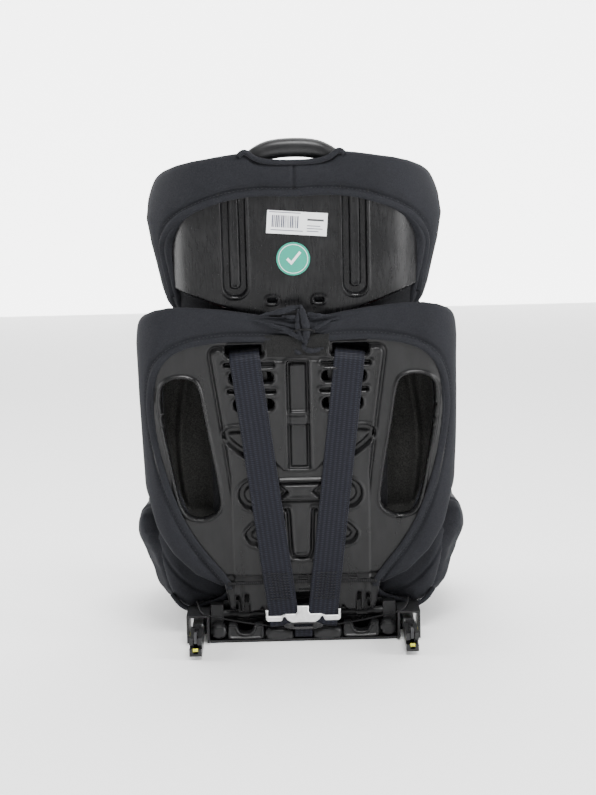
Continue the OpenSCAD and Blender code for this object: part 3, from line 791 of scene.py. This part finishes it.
def hem_binding(name, plan, hem, body, width_table, out=4.2, rise=2.6, width=4.4):
    """The rolled edge of a cover with its two rows of stitches beside it."""
    step = unit(np.gradient(hem, axis=0))
    away = np.stack([-step[:, 1], step[:, 0]], 1)
    away *= np.sign(away[len(hem) // 2, 1])

    def run(offset, lift):
        points = hem + away * offset
        s, z = s_at(plan, points[:, 0]), points[:, 1]
        return back(squeezed(on_plan(plan, s, z, lift), s, z, width_table))

    count = np.arange(len(hem))
    waver = 0.5 * np.sin(count * 0.35) + 0.4 * np.sin(count * 0.13 + 1)
    on = ("cover_fabric", body)
    tube(name, run(out, rise + 0.3 * waver), width, COVER, on, sides=14, flat=0.42)
    stitches(name + "_seam", run(out + width + 1.4, rise + 0.4), on)
    stitches(name + "_topstitch", run(out + width - 1.9, rise + 1.2), on)


def head_folds(s, z, h):
    seam = -2.4 * bump(s - 1, 1.9) * ease(-(z - 566), 6)
    seam += 1.6 * bump(np.hypot(s - 15, 1.6 * (z - 567)), 7)
    seam -= 1.4 * bump(np.hypot(s - 24, 1.6 * (z - 564)), 6)
    puckers = 0.5 * np.sin(s / 5.5) * bump(h - 16, 6) * ease(-h, 3)
    sag = 0.9 * np.sin(s / 37 + 1) * np.sin(z / 29)
    return seam + puckers + sag


KNOT = (12, 390)


def back_folds(s, z, h):
    """Creases that run to the knot where the cover's elastic gathers the top edge."""
    dx, dz = s - KNOT[0], z - KNOT[1]
    r, a = np.hypot(dx, dz), np.arctan2(dz, dx)
    out = ease(-h, 3)
    rays = (2.0 * np.cos(9 * a + 0.6) + 1.1 * np.cos(17 * a + 2)) * np.exp(-r / 38) * (1 - np.exp(-r / 6))
    long_fold = -2.6 * bump(z - 402 - 0.10 * np.abs(dx), 2.0) * np.exp(-(np.abs(dx) / 80) ** 2)
    long_fold += 2.0 * bump(z - 396 - 0.16 * np.abs(dx), 3.0) * np.exp(-(np.abs(dx) / 60) ** 2)
    puckers = 0.45 * np.sin(s / 6.3) * bump(h - 17, 6)
    sag = 1.0 * np.sin(s / 41 + 2) * np.sin(z / 33 + 0.5)
    return out * (rays + long_fold + puckers + sag)


def make_knot():
    """The cover's top edge bunched up in an elastic loop, with folds running out of it."""
    folds = (
        ("loop", [(6, 426), (9, 414), (12, 400), (13, 388), (10, 376)], [1.8, 4.4, 5.2, 5, 3], 0.75, -30),
        ("loop_left", [(3, 420), (2, 408), (2, 396), (5, 385), (10, 377)], [1.2, 2.6, 3.4, 3.4, 2], 0.8,
         -29.5),
        ("flap", [(-46, 413), (-26, 416), (-8, 420), (5, 423)], [1.0, 3.0, 4.4, 3.0], 0.45, -27.5),
        ("flap_low", [(-18, 411), (-8, 410), (4, 410)], [0.8, 2.6, 2.4], 0.6, -28.5),
        ("flap_right", [(44, 410), (28, 411), (14, 413)], [0.8, 2.8, 3.2], 0.45, -27.5),
        ("bunch_left", [(-22, 391), (-10, 390), (0, 386), (9, 379)], [1.2, 3.0, 4.0, 2.5], 0.7, -28),
        ("crease_left", [(-56, 407), (-34, 401), (-14, 394), (-1, 390)], [0.5, 2.0, 2.8, 2.4], 0.7, -27.8),
        ("crease_right", [(54, 408), (38, 402), (24, 395), (15, 390)], [0.5, 2.0, 2.6, 2.2], 0.7, -27.8),
        ("tail", [(14, 378), (8, 371), (12, 366), (22, 364), (34, 368)], [1.5, 3.2, 3.4, 3.0, 1.4], 0.7,
         -27.5),
        ("tail_low", [(-4, 369), (0, 363), (8, 360)], [1.0, 2.8, 1.2], 0.8, -26),
    )
    for name, points, radii, flat, y in folds:
        x, z = worn(points, 1.2).T
        t = np.linspace(0, 1, len(x))
        radius = np.interp(t, np.linspace(0, 1, len(points)), radii)
        radius += 0.35 * np.sin(t * 21 + len(name)) + 0.25 * np.sin(t * 47)
        tube("knot_" + name, laid(back, x, y + 0.8 * np.sin(t * 9), z), np.maximum(radius, 0.5), COVER,
             ("cover_fabric", "backrest"), sides=16, flat=flat)
    x, z = worn([(-6, 389), (0, 393), (8, 395), (17, 394), (23, 390)], 1.0).T
    tube("knot_elastic", laid(back, x, -34.0 + 0.035 * (x - 9) ** 2, z), 1.5, BINDING,
         ("cover_fabric", "backrest"))


def make_covers():
    head_hem, back_hem = hem_line(HEAD_HEM), hem_line(BACK_HEM)
    wrapped_cover("headrest_cover_cloth", HEAD_PLAN, HEAD_TOP, HEAD_BOTTOM, head_hem, -6.8, 9, HEAD_INNER,
                  HEAD_WIDTH, head_folds, 300, 130, ("cover_fabric", "headrest", "headrest_cover"))
    hem_binding("headrest_hem", HEAD_PLAN, head_hem, "headrest", HEAD_WIDTH)
    wrapped_cover("back_cover_cloth", BACK_PLAN, BACK_TOP, BACK_BOTTOM, back_hem, -11.5, 7, BACK_INNER,
                  BACK_WIDTH, back_folds, 380, 190, ("cover_fabric", "backrest", "back_cover"))
    hem_binding("back_hem", BACK_PLAN, back_hem, "backrest", BACK_WIDTH)
    make_knot()
    outline = twin([(38, 402), (88, 403), (92, 414), (106, 414), (110, 403), (200, 406), (206, 452)])
    moulded_panel("headrest_lining", head_wall, (-212, 212), (400, 452), 2.0, outline, [],
                  lambda s, z: 6.0 + 0.5 * np.sin(s / 11) * ease(z - 425, 12), 7.6, LINER,
                  ("cover_fabric", "headrest"))


# ---- cushions by cloth simulation ----

CLOTH = {"use_pressure": True, "mass": 0.3, "tension_stiffness": 12, "compression_stiffness": 3,
         "shear_stiffness": 4, "bending_stiffness": 0.4}
LAST_FRAME = 20


def blown_up(obj, pressure, cap):
    """Swells a closed mesh as cloth under pressure, no point of it moving further than about cap mm."""
    start = coordinates(obj)
    cloth = obj.modifiers.new("cloth", "CLOTH")
    for key, value in CLOTH.items():
        setattr(cloth.settings, key, value)
    cloth.settings.uniform_pressure_force = pressure
    cloth.settings.effector_weights.gravity = 0
    cloth.collision_settings.use_collision = False
    cloth.point_cache.frame_start = 1
    cloth.point_cache.frame_end = LAST_FRAME
    for number in range(1, LAST_FRAME + 1):
        bpy.context.scene.frame_set(number)
    settle(obj)
    bpy.context.scene.frame_set(1)
    move = coordinates(obj) - start
    size = np.linalg.norm(move, axis=1)[:, None] + 1e-9
    place(obj, start + move / size * cap * MM * np.tanh(size / (cap * MM)))


def cushion(node, body, material, pressure=4.0, cap=8.0, voxel=6.0, relief=None, shape=None):
    """A CAD cushion remeshed, blown up as cloth, and shaped by its seams and channels."""
    source = frame["nodes"][node]
    obj = bpy.data.objects.new(node + "_soft", source.data.copy())
    obj.matrix_world = source.matrix_world
    bpy.context.scene.collection.objects.link(obj)
    obj.data.materials.clear()
    remesh = obj.modifiers.new("remesh", "REMESH")
    remesh.mode = "VOXEL"
    remesh.voxel_size = voxel * MM
    obj.modifiers.new("smooth", "SMOOTH").iterations = 6
    settle(obj)
    blown_up(obj, pressure, cap)
    divide = obj.modifiers.new("divide", "SUBSURF")
    divide.levels = divide.render_levels = 1
    settle(obj)
    if relief:
        at = coordinates(obj)
        normals = np.empty(at.size)
        obj.data.vertex_normals.foreach_get("vector", normals)
        normals = normals.reshape(-1, 3)
        place(obj, at + normals * relief(at / MM, normals)[:, None] * MM)
    if shape:
        place(obj, shape(coordinates(obj) / MM) * MM)
    obj.data.materials.append(material)
    obj.data.polygons.foreach_set("use_smooth", [True] * len(obj.data.polygons))
    attach(obj, "cover_fabric", body, node)


def settle(obj):
    """Applies an object's modifiers to its mesh."""
    graph = bpy.context.evaluated_depsgraph_get()
    data = bpy.data.meshes.new_from_object(obj.evaluated_get(graph))
    obj.modifiers.clear()
    obj.data = data


def coordinates(obj):
    flat = np.empty(len(obj.data.vertices) * 3)
    obj.data.vertices.foreach_get("co", flat)
    return flat.reshape(-1, 3)


def place(obj, points):
    obj.data.vertices.foreach_set("co", np.asarray(points, float).ravel())
    obj.data.update()


def leaning(p):
    """Row-frame mm as the backrest's own x, y and z."""
    y, z = p[:, 1] - HINGE_Y, p[:, 2] - FOOT_Z
    return p[:, 0], y * math.cos(LEAN) + z * math.sin(LEAN), z * math.cos(LEAN) - y * math.sin(LEAN)


def seat_relief(p, n):
    """Two long seams, cross channels between them and a soft hollow to sit in."""
    x, y = p.T[:2]
    top = np.clip(n[:, 2] * 1.6, 0, 1)
    seams = -4.5 * bump(np.abs(x) - 82, 3.2) * np.clip(top + np.clip(n[:, 1], 0, 1), 0, 1)
    between = ease(np.abs(x) - 80, 6)
    channels = -2.6 * np.exp(-((((y + 60) % 42) - 21) / 3.2) ** 2) * between * top
    hollow = -5 * np.exp(-(x / 90) ** 2 - ((y - 10) / 100) ** 2) * top
    return seams + channels + hollow + 0.7 * np.sin(x / 9) * bump(np.abs(x) - 82, 14)


def back_pad_relief(p, n):
    """Long seams down both sides and cross channels between them."""
    x, _, z = leaning(p)
    front = np.clip(n[:, 1] * 1.4, 0, 1)
    seams = -4.0 * bump(np.abs(x) - 92, 3.0) * front
    channels = -2.6 * np.exp(-((((z - 96) % 48) - 24) / 3.2) ** 2) * ease(np.abs(x) - 90, 6) * front
    return seams + channels


def wing_relief(p, n):
    """One upright seam with its puckers."""
    _, y, z = leaning(p)
    return -3.0 * bump(y - 72, 2.8) * np.clip(np.abs(n[:, 0]), 0, 1) + 0.5 * np.sin(z / 11) * bump(y - 72, 12)


def head_pad_relief(p, n):
    """A seam on each side and one across."""
    x, _, z = leaning(p)
    seams = -3.6 * bump(np.abs(x) - 88, 2.8) * np.clip(n[:, 1] * 1.5, 0, 1)
    return seams - 2.6 * bump(z - 505, 2.8) * ease(np.abs(x) - 86, 5) * np.clip(n[:, 1], 0, 1)


def bolster_relief(p, n):
    """The seam over the bolster's crown and the one that follows its rear edge."""
    x, y, z = np.abs(p[:, 0]), p[:, 1], p[:, 2]
    crown = -3.2 * bump(x - 194, 2.6) * np.clip(n[:, 2] * 2, 0, 1)
    rear = -2.8 * bump(y + 62 + 0.10 * (z - 90), 2.6) * np.clip(1.3 - np.abs(n[:, 1]), 0, 1)
    puckers = 0.7 * np.sin(z / 5) * bump(y + 62, 9)
    puckers += 0.6 * np.sin(y / 6) * bump(x - 194, 8) * np.clip(n[:, 2], 0, 1)
    sag = 1.6 * np.sin(y / 38 + z / 50) * np.clip(np.abs(n[:, 0]), 0, 1)
    return crown + rear + puckers + sag


def tucked_up(p):
    """The bolsters' lower edge, drawn up under the seat by the cover's hem."""
    p = np.array(p)
    low = np.maximum(0, TUCK_FROM - p[:, 2])
    p[:, 2] += TUCK * low
    p[:, 0] -= np.sign(p[:, 0]) * 0.12 * np.maximum(0, low - 20) * (np.abs(p[:, 0]) > 160)
    return p


def make_cushions():
    cushion("seat_cushion", "base", LINER, cap=9, relief=seat_relief)
    for _, side in SIDES:
        cushion("bolster_" + side, "base", COVER, cap=7, relief=bolster_relief, shape=tucked_up)
        cushion("wing_pad_" + side, "backrest", LINER, cap=6, relief=wing_relief)
        cushion("shoulder_pad_" + side, "backrest", LINER, cap=3, voxel=3.5, pressure=2)
    cushion("back_cushion", "backrest", LINER, cap=6, relief=back_pad_relief, voxel=5)
    cushion("headrest_pad", "headrest", LINER, cap=7, relief=head_pad_relief, voxel=5)
    cushion("crotch_pad", "base", LINER, cap=3, voxel=3, pressure=2)


# ---- webbing ----

def strap_run(side, top_x, bottom_x, points, step=4.0):
    """A strap's middle line from (y, z) points of the leaning frame, from top_x down to bottom_x."""
    y, z = worn(points, step).T
    x = side * (bottom_x + (top_x - bottom_x) * (z - z.min()) / (z.max() - z.min()))
    return np.stack([x, y, z], 1)


STRAP_TILT = math.atan2(40, 370)
REAR_ROUTE = [(6, 360.5), (-12, 361.5), (-24, 362), (-29.8, 354), (-30, 330), (-29.8, 180), (-30.2, 80),
              (-30.4, 50), (-31, 30), (-33, 8), (-37, -8)]
FRONT_ROUTE = [(4, 370), (22, 371), (31, 366), (36, 330), (39, 270), (48, 232), (84, 198), (140, 180),
               (203, 170)]
LAP_ROUTE = [(27, 61, 224), (34, 58, 210), (60, 45, 180), (88, 20, 166), (110, -20, 160), (120, -60, 156),
             (123, -92, 150)]
UNDER_ROUTE = [(-151.4, 26), (-151.4, 13), (-149, 6.5), (-143, 5), (-134, 6), (-128.5, 14), (-127.5, 28),
               (-122, 39), (-110, 39.2), (-90, 37.8), (182, 37.8), (200, 53.4), (205, 54.8)]
PULL_ROUTE = [(206, 54.8), (226, 54.8), (227.4, 50), (227.2, 24), (230, 17), (229, 12)]


def make_shoulder_straps():
    """The rear runs of the harness, from the top slots down to the splitter plate."""
    for side, name in SIDES:
        path = strap_run(side, 68, 24.5, REAR_ROUTE)
        angle = STRAP_TILT * side
        k = np.arange(len(path))
        ribbon("shoulder_webbing_" + name, back(path), leaning_way(math.cos(angle), 0, -math.sin(angle)),
               39.5, WEB, ("webbing", "backrest", "shoulder_strap_" + name),
               wave=0.5 * np.sin(k * 0.09 + side) + 0.25 * np.sin(k * 0.23))
        for offset in (-17.2, 17.2):
            line = path + [offset * math.cos(angle), -(WEB_T / 2 + 0.15), 0]
            line = line[(path[:, 2] < 345) & (path[:, 2] > 20)]
            stitches(f"shoulder_stitch_{name}_{int(offset)}", back(line), ("webbing", "backrest"),
                     length=2.2, gap=1.8, width=0.5, lift=0.25)
        zigzag(name, path, angle)


def zigzag(name, path, angle):
    """The sewn W that closes the strap's lower loop."""
    low = path[(path[:, 2] < 66) & (path[:, 2] > 24)]
    z = 66 - np.linspace(0, 42, 22)
    at = np.stack([np.interp(-z, -low[:, 2], low[:, k]) for k in range(3)], 1)
    swing = np.where(np.arange(22) % 2, -14, 14) * math.cos(angle)
    stitches("strap_zigzag_" + name, back(at + np.stack([swing, 0 * swing - WEB_T / 2 - 0.3, 0 * swing], 1)),
             ("webbing", "backrest"), length=3.0, gap=1.0, width=0.7, lift=0.4)


def make_front_harness():
    """The chest straps over the shoulder pads, and the lap straps."""
    for side, name in SIDES:
        strap = ribbon("chest_webbing_" + name, back(strap_run(side, 66, 27, FRONT_ROUTE)),
                       leaning_way(math.cos(0.19), 0, -side * math.sin(0.19)), 38, WEB,
                       ("webbing", None, "chest_strap_" + name))
        tuple(back([0, 44, 245]))
        tuple(back([0, 196, 172]))
        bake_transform(strap)
        lap = worn(LAP_ROUTE, 4) * [side, 1, 1]
        tilt = np.linspace(0, 1, len(lap))[:, None]
        across = (1 - tilt) * [side, 0, 0.25] + tilt * [0, 0, 1]
        ribbon("lap_webbing_" + name, upright(lap), across, 36, WEB, ("webbing", "base", "lap_strap_" + name))


def make_low_webbing():
    """The crotch strap, the adjuster strap under the seat with its pull tab, and both elastics."""
    level = (1, 0, 0)
    ribbon("crotch_webbing", laid(upright, 0, 62, np.linspace(84, 151, 20)), level, 28, WEB,
           ("webbing", "base", "crotch_strap"), thickness=1.9)
    rear = ribbon("adjuster_webbing", laid(upright, 0, *worn(UNDER_ROUTE, 2.5, 2).T), level, 23.6, WEB,
                  ("webbing", None, "adjuster_strap"))
    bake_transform(rear)
    ribbon("pull_webbing", laid(upright, 0, *worn(PULL_ROUTE, 3, 2).T), level, 25, WEB,
           ("webbing", "base", "pull_strap"))
    x = np.linspace(-99, 99, 60)
    ribbon("elastic_webbing", laid(back, x, -27.3 - 0.2 * np.cos(x / 30), 48.5 + 1.2 * np.cos(x / 60)),
           leaning_way(0, 0, 1), 4.6, BINDING, ("webbing", "backrest", "elastic_band"), thickness=1.0)
    half = [(60, -149.0, 23), (112, -156, 35.5), (128, -161.8, 40.5), (137, -152, 44.5), (143, -104, 47)]
    cord = [(-x, y, z) for x, y, z in half[::-1]] + [(0, -148.8, 17.5)] + half
    tube("cover_elastic", upright(worn(cord, 2.5)), 1.1, BINDING, ("cover_fabric", "base"), sides=8,
         normal=STRAIGHT_REAR)


# ---- trim ----

def flat_piece(name, outline, proud, material, on, thickness=0.5):
    """A thin flat piece that stands proud of the headrest shell, from its outline in x and z."""
    x, z = np.asarray(outline, float).T
    n = len(x)
    faces = [tuple(range(n)), tuple(reversed(range(n, 2 * n)))]
    faces += [(i, i + n, (i + 1) % n + n, (i + 1) % n) for i in range(n)]
    verts = [laid(back, x, HEAD_Y - proud + depth, z) for depth in (0, thickness)]
    add_mesh(name, np.vstack(verts), faces, material, on, smooth=False)


LABEL_TURN, LABEL_AT = math.radians(4.6), (4.0, 527.0)
LABEL_LINES = ((13, 34, 4), (13, 30, -3), (13, 33, -6.5), (13, 28, -10), (-33, 8, -10.5), (-36, 4, 12.5))


def make_label():
    """A white label with plain bars and lines, and no lettering."""
    cos, sin = math.cos(LABEL_TURN), math.sin(LABEL_TURN)

    def print_bar(name, corners, material, *nodes):
        outline = np.array(bar(*corners), float) @ [[cos, -sin], [sin, cos]] + LABEL_AT
        proud, thickness = (0.9, 0.5) if nodes else (1.05, 0.1)
        flat_piece(name, outline, proud, material, ("label_white", "headrest", *nodes), thickness)

    print_bar("label_sheet", (-38.5, 38.5, -14.8, 14.8), PAPER, "info_label")
    widths = rng.choice([0.5, 0.9, 1.5], 16)
    gaps = rng.choice([0.9, 1.4], 16)
    x = -32.0
    for i, (w, g) in enumerate(zip(widths, gaps)):
        print_bar(f"label_bar_{i}", (x, x + w, -6.5, 9), INK)
        x += w + g
    for i, (x0, x1, z) in enumerate(LABEL_LINES):
        print_bar(f"label_line_{i}", (x0, x1, z, z + (0.9 if i else 2.4)), INK if i else GREY)


STICKER_AT = (-1.8, 481)
TICK = [(-9, -1), (-6.5, 1.8), (-2.5, -2.8), (8, 10), (10.5, 7.6), (-2.5, -8)]


def make_sticker():
    """A round teal sticker with a ring and a tick."""
    on = ("sticker_teal", "headrest")
    a = np.linspace(0, 2 * math.pi, 72, endpoint=False)
    circle = np.stack([np.cos(a), np.sin(a)], 1)
    flat_piece("sticker_disc", circle * 21.5 + STICKER_AT, 0.9, TEAL, (*on, "round_sticker"))
    x, z = (circle * 18.6 + STICKER_AT).T
    tube("sticker_ring", laid(back, x, HEAD_Y - 1.0, z), 0.4, PAPER, on, sides=6, closed=True, flat=0.4)
    flat_piece("sticker_tick", np.add(TICK, STICKER_AT), 1.05, PAPER, on, 0.1)


def make_handle():
    """The bowed grip that stands out of the headrest's opening."""
    half = [(24, 622), (45, 613), (58, 600), (62, 588)]
    x, z = worn([(-x, z) for x, z in half[::-1]] + half, 2).T
    tube("handle_grip", laid(back, x, 3.5, z), 12.3, PLASTIC,
         ("shell_satin", "release_handle", "release_handle"),
         sides=28, flat=0.8)


def make_opening_binding():
    """The piped edge of the headrest cover where the handle comes through."""
    x, z = worn([(-68, 615), (-62, 620.5), (-56, 619), (-48, 611), (-28, 606), (24, 605.5), (46, 610),
                 (55, 618),
                 (60, 620.5), (66, 615)], 2).T
    tube("opening_piping", laid(back, x, HEAD_Y - 6.5, z), 3.4, COVER, ("cover_fabric", "headrest"), sides=12)


def make_splitter():
    """The plate that joins both shoulder straps to the adjuster strap, and the grey ring on its slot."""
    low, high = (np.array(corner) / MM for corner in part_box("splitter_plate"))
    loops = twin([(0, 25.5), (16, 25.5), (22, 30), (24.5, 34), (26, 34), (28, 29), (30, 28), (47, 28),
                  (50, 31),
                  (50, 44), (46.5, 44), (46.5, 36), (30, 36), (24, 38.5), (10, 38.5), (7.6, 41), (7.6, 49),
                  (0, 49)])
    moulded_panel("splitter_loops", flat_wall(upright, low[1]), (-52, 52), (24, 51), 0.8, loops, [],
                  lambda x, z: 0 * x, high[1] - low[1], ZINC, ("zinc", "backrest", "splitter_plate"))
    moulded_panel("splitter_ring", flat_wall(upright, low[1] - 1.6), (-28, 28), (15, 30), 0.8,
                  rounded(bar(-26, 26, 17, 27.5), passes=2),
                  [lambda x, z: block_distance(x, z, -13, 13, 20.6, 24.0, r=1.5)],
                  lambda x, z: 0.8 * ease(block_distance(x, z, -18, 18, 19.5, 25.2, r=2), 2), 2.6, PLASTIC,
                  ("grey_plastic", "backrest"))


def make_felt():
    moulded_panel("felt_between_slots", flat_wall(back, PANEL_Y - 4.6), (-46, 46), (352, 386), 1.5,
                  twin([(41, 356), (43, 370), (42, 386), (0, 386)]), [],
                  lambda x, z: 0.5 * np.sin(x / 9) * np.sin(z / 5), 1.8, FELT,
                  ("felt", "backrest", "felt_strip"))


HARD = {
    PLASTIC: "base_shell isofix_housings bottom_tray hinge_bar buckle_housing adjuster_housing height_rack "
             "connector_left connector_right isofix_button_left isofix_button_right rod_guide guide_arms",
    ZINC: "base_screws tongue_left tongue_right isofix_frame", SATIN: "back_wings back_hooks",
    # lock_frame gets STEEL's dark colour as painted shade inside the headrest slots; the hooks' dark steel is
    # their own finish.
    RED: "buckle_button belt_guide_left belt_guide_right", STEEL: "hook_left hook_right lock_frame",
    GREEN: "indicator_left indicator_right", GREY: "adjuster_lever",
}
ROUNDING = {"base_screws": 0, "hook_left": 0.5, "hook_right": 0.5, "tongue_left": 0.5, "tongue_right": 0.5,
            "isofix_housings": 3.0, "bottom_tray": 1.4, "base_shell": 2.0, "back_hooks": 1.6,
            "connector_left": 1.4, "connector_right": 1.4}


def block(low, high):
    """Corners, in metres, and faces of an upright block between two corners in mm."""
    x, y, z = zip(low, high)
    corners = upright([(a, b, c) for a in x for b in y for c in z])
    return corners, [(0, 1, 3, 2), (4, 6, 7, 5), (0, 4, 5, 1), (2, 3, 7, 6), (0, 2, 6, 4), (1, 5, 7, 3)]


def make_hard_parts():
    """Materials and rounded edges for the CAD's own hard parts, and the coloured dots in the jaws."""
    for surface, names in HARD.items():
        for name in names.split():
            obj = frame["nodes"][name]
            obj.data.materials.clear()
            obj.data.materials.append(surface)
            if ROUNDING.get(name, 1.0):
                soften(obj, ROUNDING.get(name, 1.0))
    low, high = (np.array(corner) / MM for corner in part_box("connector_right"))
    for side, name in SIDES:
        x = side * (low[0] + high[0]) / 2
        add_mesh("jaw_dot_" + name, *block((x - 3.2, low[1] - 0.8, 11.5), (x + 3.2, low[1] + 1.0, 15.5)),
                 GREEN, ("signal_green", "isofix_carriage"))


WIRE = 0.5
SPRING_Z, SPRING_SPAN = 440.5, 28
SPRINGS = {"release_springs": ("headrest", "handle_lift", 3.7, 8, RAISE, 0.7),
           "buckle_spring": ("base", "buckle_press", 3.75, 3, (0, 1, 0), 0.15)}


def make_springs():
    """The coil springs behind the handle and the buckle's button."""
    for node, (body, joint, radius, turns, axis, keep) in SPRINGS.items():
        low, high = (np.array(corner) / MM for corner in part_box(node))
        turn = np.linspace(0, 2 * math.pi * turns, turns * 16 + 1)
        run = turn / turn[-1]
        across, up = radius * np.stack([np.cos(turn), np.sin(turn)])
        for side, tag in SIDES if node == "release_springs" else ((0, "middle"),):
            if side:
                path = laid(back, side * ROD_X + across, ROD_Y + up, SPRING_Z + SPRING_SPAN * run)
                end = tuple(back([side * ROD_X, ROD_Y, SPRING_Z + SPRING_SPAN + WIRE]))
            else:
                middle = (low[2] + high[2]) / 2
                path = laid(upright, across, low[1] + WIRE + (high[1] - low[1] - 2 * WIRE) * run, middle + up)
                end = (0, low[1] * MM, middle * MM)
            nodes = [node] if side < 1 else []
            coil = tube(f"{node}_{tag}", path, WIRE, ZINC, ("zinc", body, *nodes), sides=6, normal=axis)
            tuple(axis)
            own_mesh(coil)


# ---- the base's rear ----

NOTCHED = [(55.5, 3.2), (98.5, 3.2), (101, 5.5), (101, 21), (99, 23), (91, 23), (88.5, 21), (86, 13),
           (80, 11),
           (74, 11), (68, 13), (65.5, 21), (63, 23), (55, 23), (53, 21), (53, 5.5)]


def plate(x0, x1, z0, z1, r):
    """A rectangle's outline with its corners cut by r."""
    return [(x0 + r, z0), (x1 - r, z0), (x1, z0 + r), (x1, z1 - r), (x1 - r, z1), (x0 + r, z1), (x0, z1 - r),
            (x0, z0 + r)]


REAR_SHAPES = (("middle", plate(12.5, 51, 1.2, 17.5, 3.0), 0, 2.0), ("notched", NOTCHED, 2.4, 0),
               ("boss", plate(102.5, 124, 5, 24, 4.5), 0, 1.5))


def make_rear_blocks():
    """A block beside the adjuster strap, a sunk box with a notch in its top, and a boss, on each side.

    The block and the boss stand proud, with worn edges and a coarser grid."""
    rear_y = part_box("rear_blocks")[0][1] / MM
    for side, tag in SIDES:
        for name, corners, sunk, proud in REAR_SHAPES:
            half = rounded(corners, passes=2)
            low, high = half.min(0) - 1, half.max(0) + 1

            def relief(x, z, half=half, sunk=sunk, proud=proud):
                d = signed(np.abs(x), z, half)
                return sunk * ease(d + 3.0, 1.8) + 1.6 * (1 - ease(d + 1.5, 2.5)) * (proud > 0)

            nodes = ["rear_blocks"] if (name, side) == ("middle", -1) else []
            moulded_panel(f"rear_{name}_{tag}", flat_wall(upright, rear_y - proud),
                          sorted((side * low[0], side * high[0])), (low[1], high[1]), 1.0 + proud,
                          half * [side, 1], [], relief, 20, PLASTIC, ("grey_plastic", "base", *nodes))


SKIRT_RIM = [(196, 150), (192, 112), (185, 78), (177, 56), (167, 43), (155, 36), (146, 35.5), (136, 41),
             (118, 46),
             (104, 52), (97, 64), (95, 84), (112, 120), (150, 165)]
SKIRT_HEM = SKIRT_RIM[3:12]
SKIRT_SEAM = [(194, 128), (180, 98), (162, 77), (140, 61), (110, 51)]
SKIRT_Y = -106


def make_base_skirt():
    """The seat cover's rear corners, drawn in behind the base by a stitched hem."""
    on = ("cover_fabric", "base")
    for side, name in SIDES:
        outline = rounded(SKIRT_RIM, passes=2) * [side, 1]
        groove = rounded(SKIRT_SEAM, closed=False) * [side, 1]

        def shape(x, z, depth, outline=outline):
            t = np.clip(-signed(x, z, outline) / 24, 0, 1)
            return laid(upright, x, SKIRT_Y + 16 * (1 - np.sqrt(1 - (1 - t) ** 2)) + depth, z)

        def relief(x, z, groove=groove):
            d = line_distance(x, z, groove)
            sag = 1.2 * np.sin(z / 14) * np.sin(x / 19)
            return 2.6 * bump(d, 2.0) + 0.5 * np.sin(x / 6) * bump(d, 9) + sag

        skirt = moulded_panel("skirt_" + name, shape, sorted((side * 92, side * 200)), (34, 168), 1.8,
                              outline, [], relief, 4.0, COVER, on)
        edge = worn(SKIRT_HEM, 2) * [side, 1]
        t = np.clip((np.abs(edge[:, 0]) - 160) / 20, 0, 1)
        path = laid(upright, edge[:, 0], SKIRT_Y + 2.5 + 9 * t * t, edge[:, 1])
        tube("skirt_hem_" + name, path, 3.4, COVER, on, sides=12, normal=STRAIGHT_REAR)
        x, z = (edge[6:-4] + [-side * 0.5, 7.0]).T
        stitches("skirt_stitches_" + name, laid(upright, x, SKIRT_Y + 0.4, z), on, normal=STRAIGHT_REAR)


# ---- stage ----

LAMPS = (("left_soft", (-2.5, 0.0, 0.9), (1.2, 2.2), 85), ("right_soft", (2.2, -1.0, 0.9), (1.0, 2.0), 75),
         ("top_soft", (0.1, 0.9, 2.9), (3.0, 2.0), 85), ("rear_soft", (0.2, -1.7, 2.5), (1.0, 0.5), 85))


WIDE, NEAR_Y, FAR_Y, FLOOR_Z, HIGH = 9000, -9000, 5000, -0.5, 7000


def make_stage():
    """A pale floor, a glowing backdrop, four soft lamps and a faint even light."""
    paint = Surface("floor", (0.95, 0.95, 0.95), 0.8, specular=0.1)
    glow = Surface("backdrop_glow", (1, 1, 1), 1.0, specular=0.0)
    glow.set(emission_color=(1, 1, 1, 1), emission_strength=4.0)
    for name, surface, near, top in (("floor", paint, NEAR_Y, FLOOR_Z), ("backdrop", glow, FAR_Y, HIGH)):
        corners = [(-WIDE, near, FLOOR_Z), (WIDE, near, FLOOR_Z), (WIDE, FAR_Y, top), (-WIDE, FAR_Y, top)]
        add_mesh(name, upright(corners), [(0, 1, 2, 3)], surface.material, smooth=False)
    world = bpy.data.worlds.new("studio")
    bpy.context.scene.world = world
    world.use_nodes = True
    sky = world.node_tree.nodes["Background"].inputs
    sky["Color"].default_value = (1, 1, 1, 1)
    sky["Strength"].default_value = 0.3
    for name, at, size, power in LAMPS:
        lamp = bpy.data.lights.new(name, "AREA")
        lamp.shape = "RECTANGLE"
        lamp.size, lamp.size_y = size
        lamp.energy = power
        obj = bpy.data.objects.new(name, lamp)
        bpy.context.scene.collection.objects.link(obj)
        obj.location = at
        obj.rotation_euler = (Vector((0, 0, 0.32)) - Vector(at)).to_track_quat("-Z", "Y").to_euler()


EYE, TARGET = Vector((0, -2.677, 0.660)), Vector((0, 0, 0.3075))
LENS, ROLL = 88.1, -1.4


def make_camera():
    """Behind the seat, a little above it, with the slight tilt of a hand-held picture."""
    data = bpy.data.cameras.new("camera")
    data.lens = LENS
    data.sensor_width = 36
    camera = bpy.data.objects.new("camera", data)
    bpy.context.scene.collection.objects.link(camera)
    turn = (TARGET - EYE).to_track_quat("-Z", "Y").to_matrix().to_4x4()
    camera.matrix_world = Matrix.Translation(EYE) @ turn @ Matrix.Rotation(math.radians(ROLL), 4, "Z")
    bpy.context.scene.camera = camera


for make in (make_back_shell, make_window_linings, make_headrest_shell, make_covers, make_cushions,
             make_shoulder_straps, make_front_harness, make_low_webbing, make_label, make_sticker,
             make_handle, make_opening_binding, make_felt, make_splitter, make_base_skirt, make_rear_blocks,
             make_hard_parts, make_springs, make_stage, make_camera):
    make()
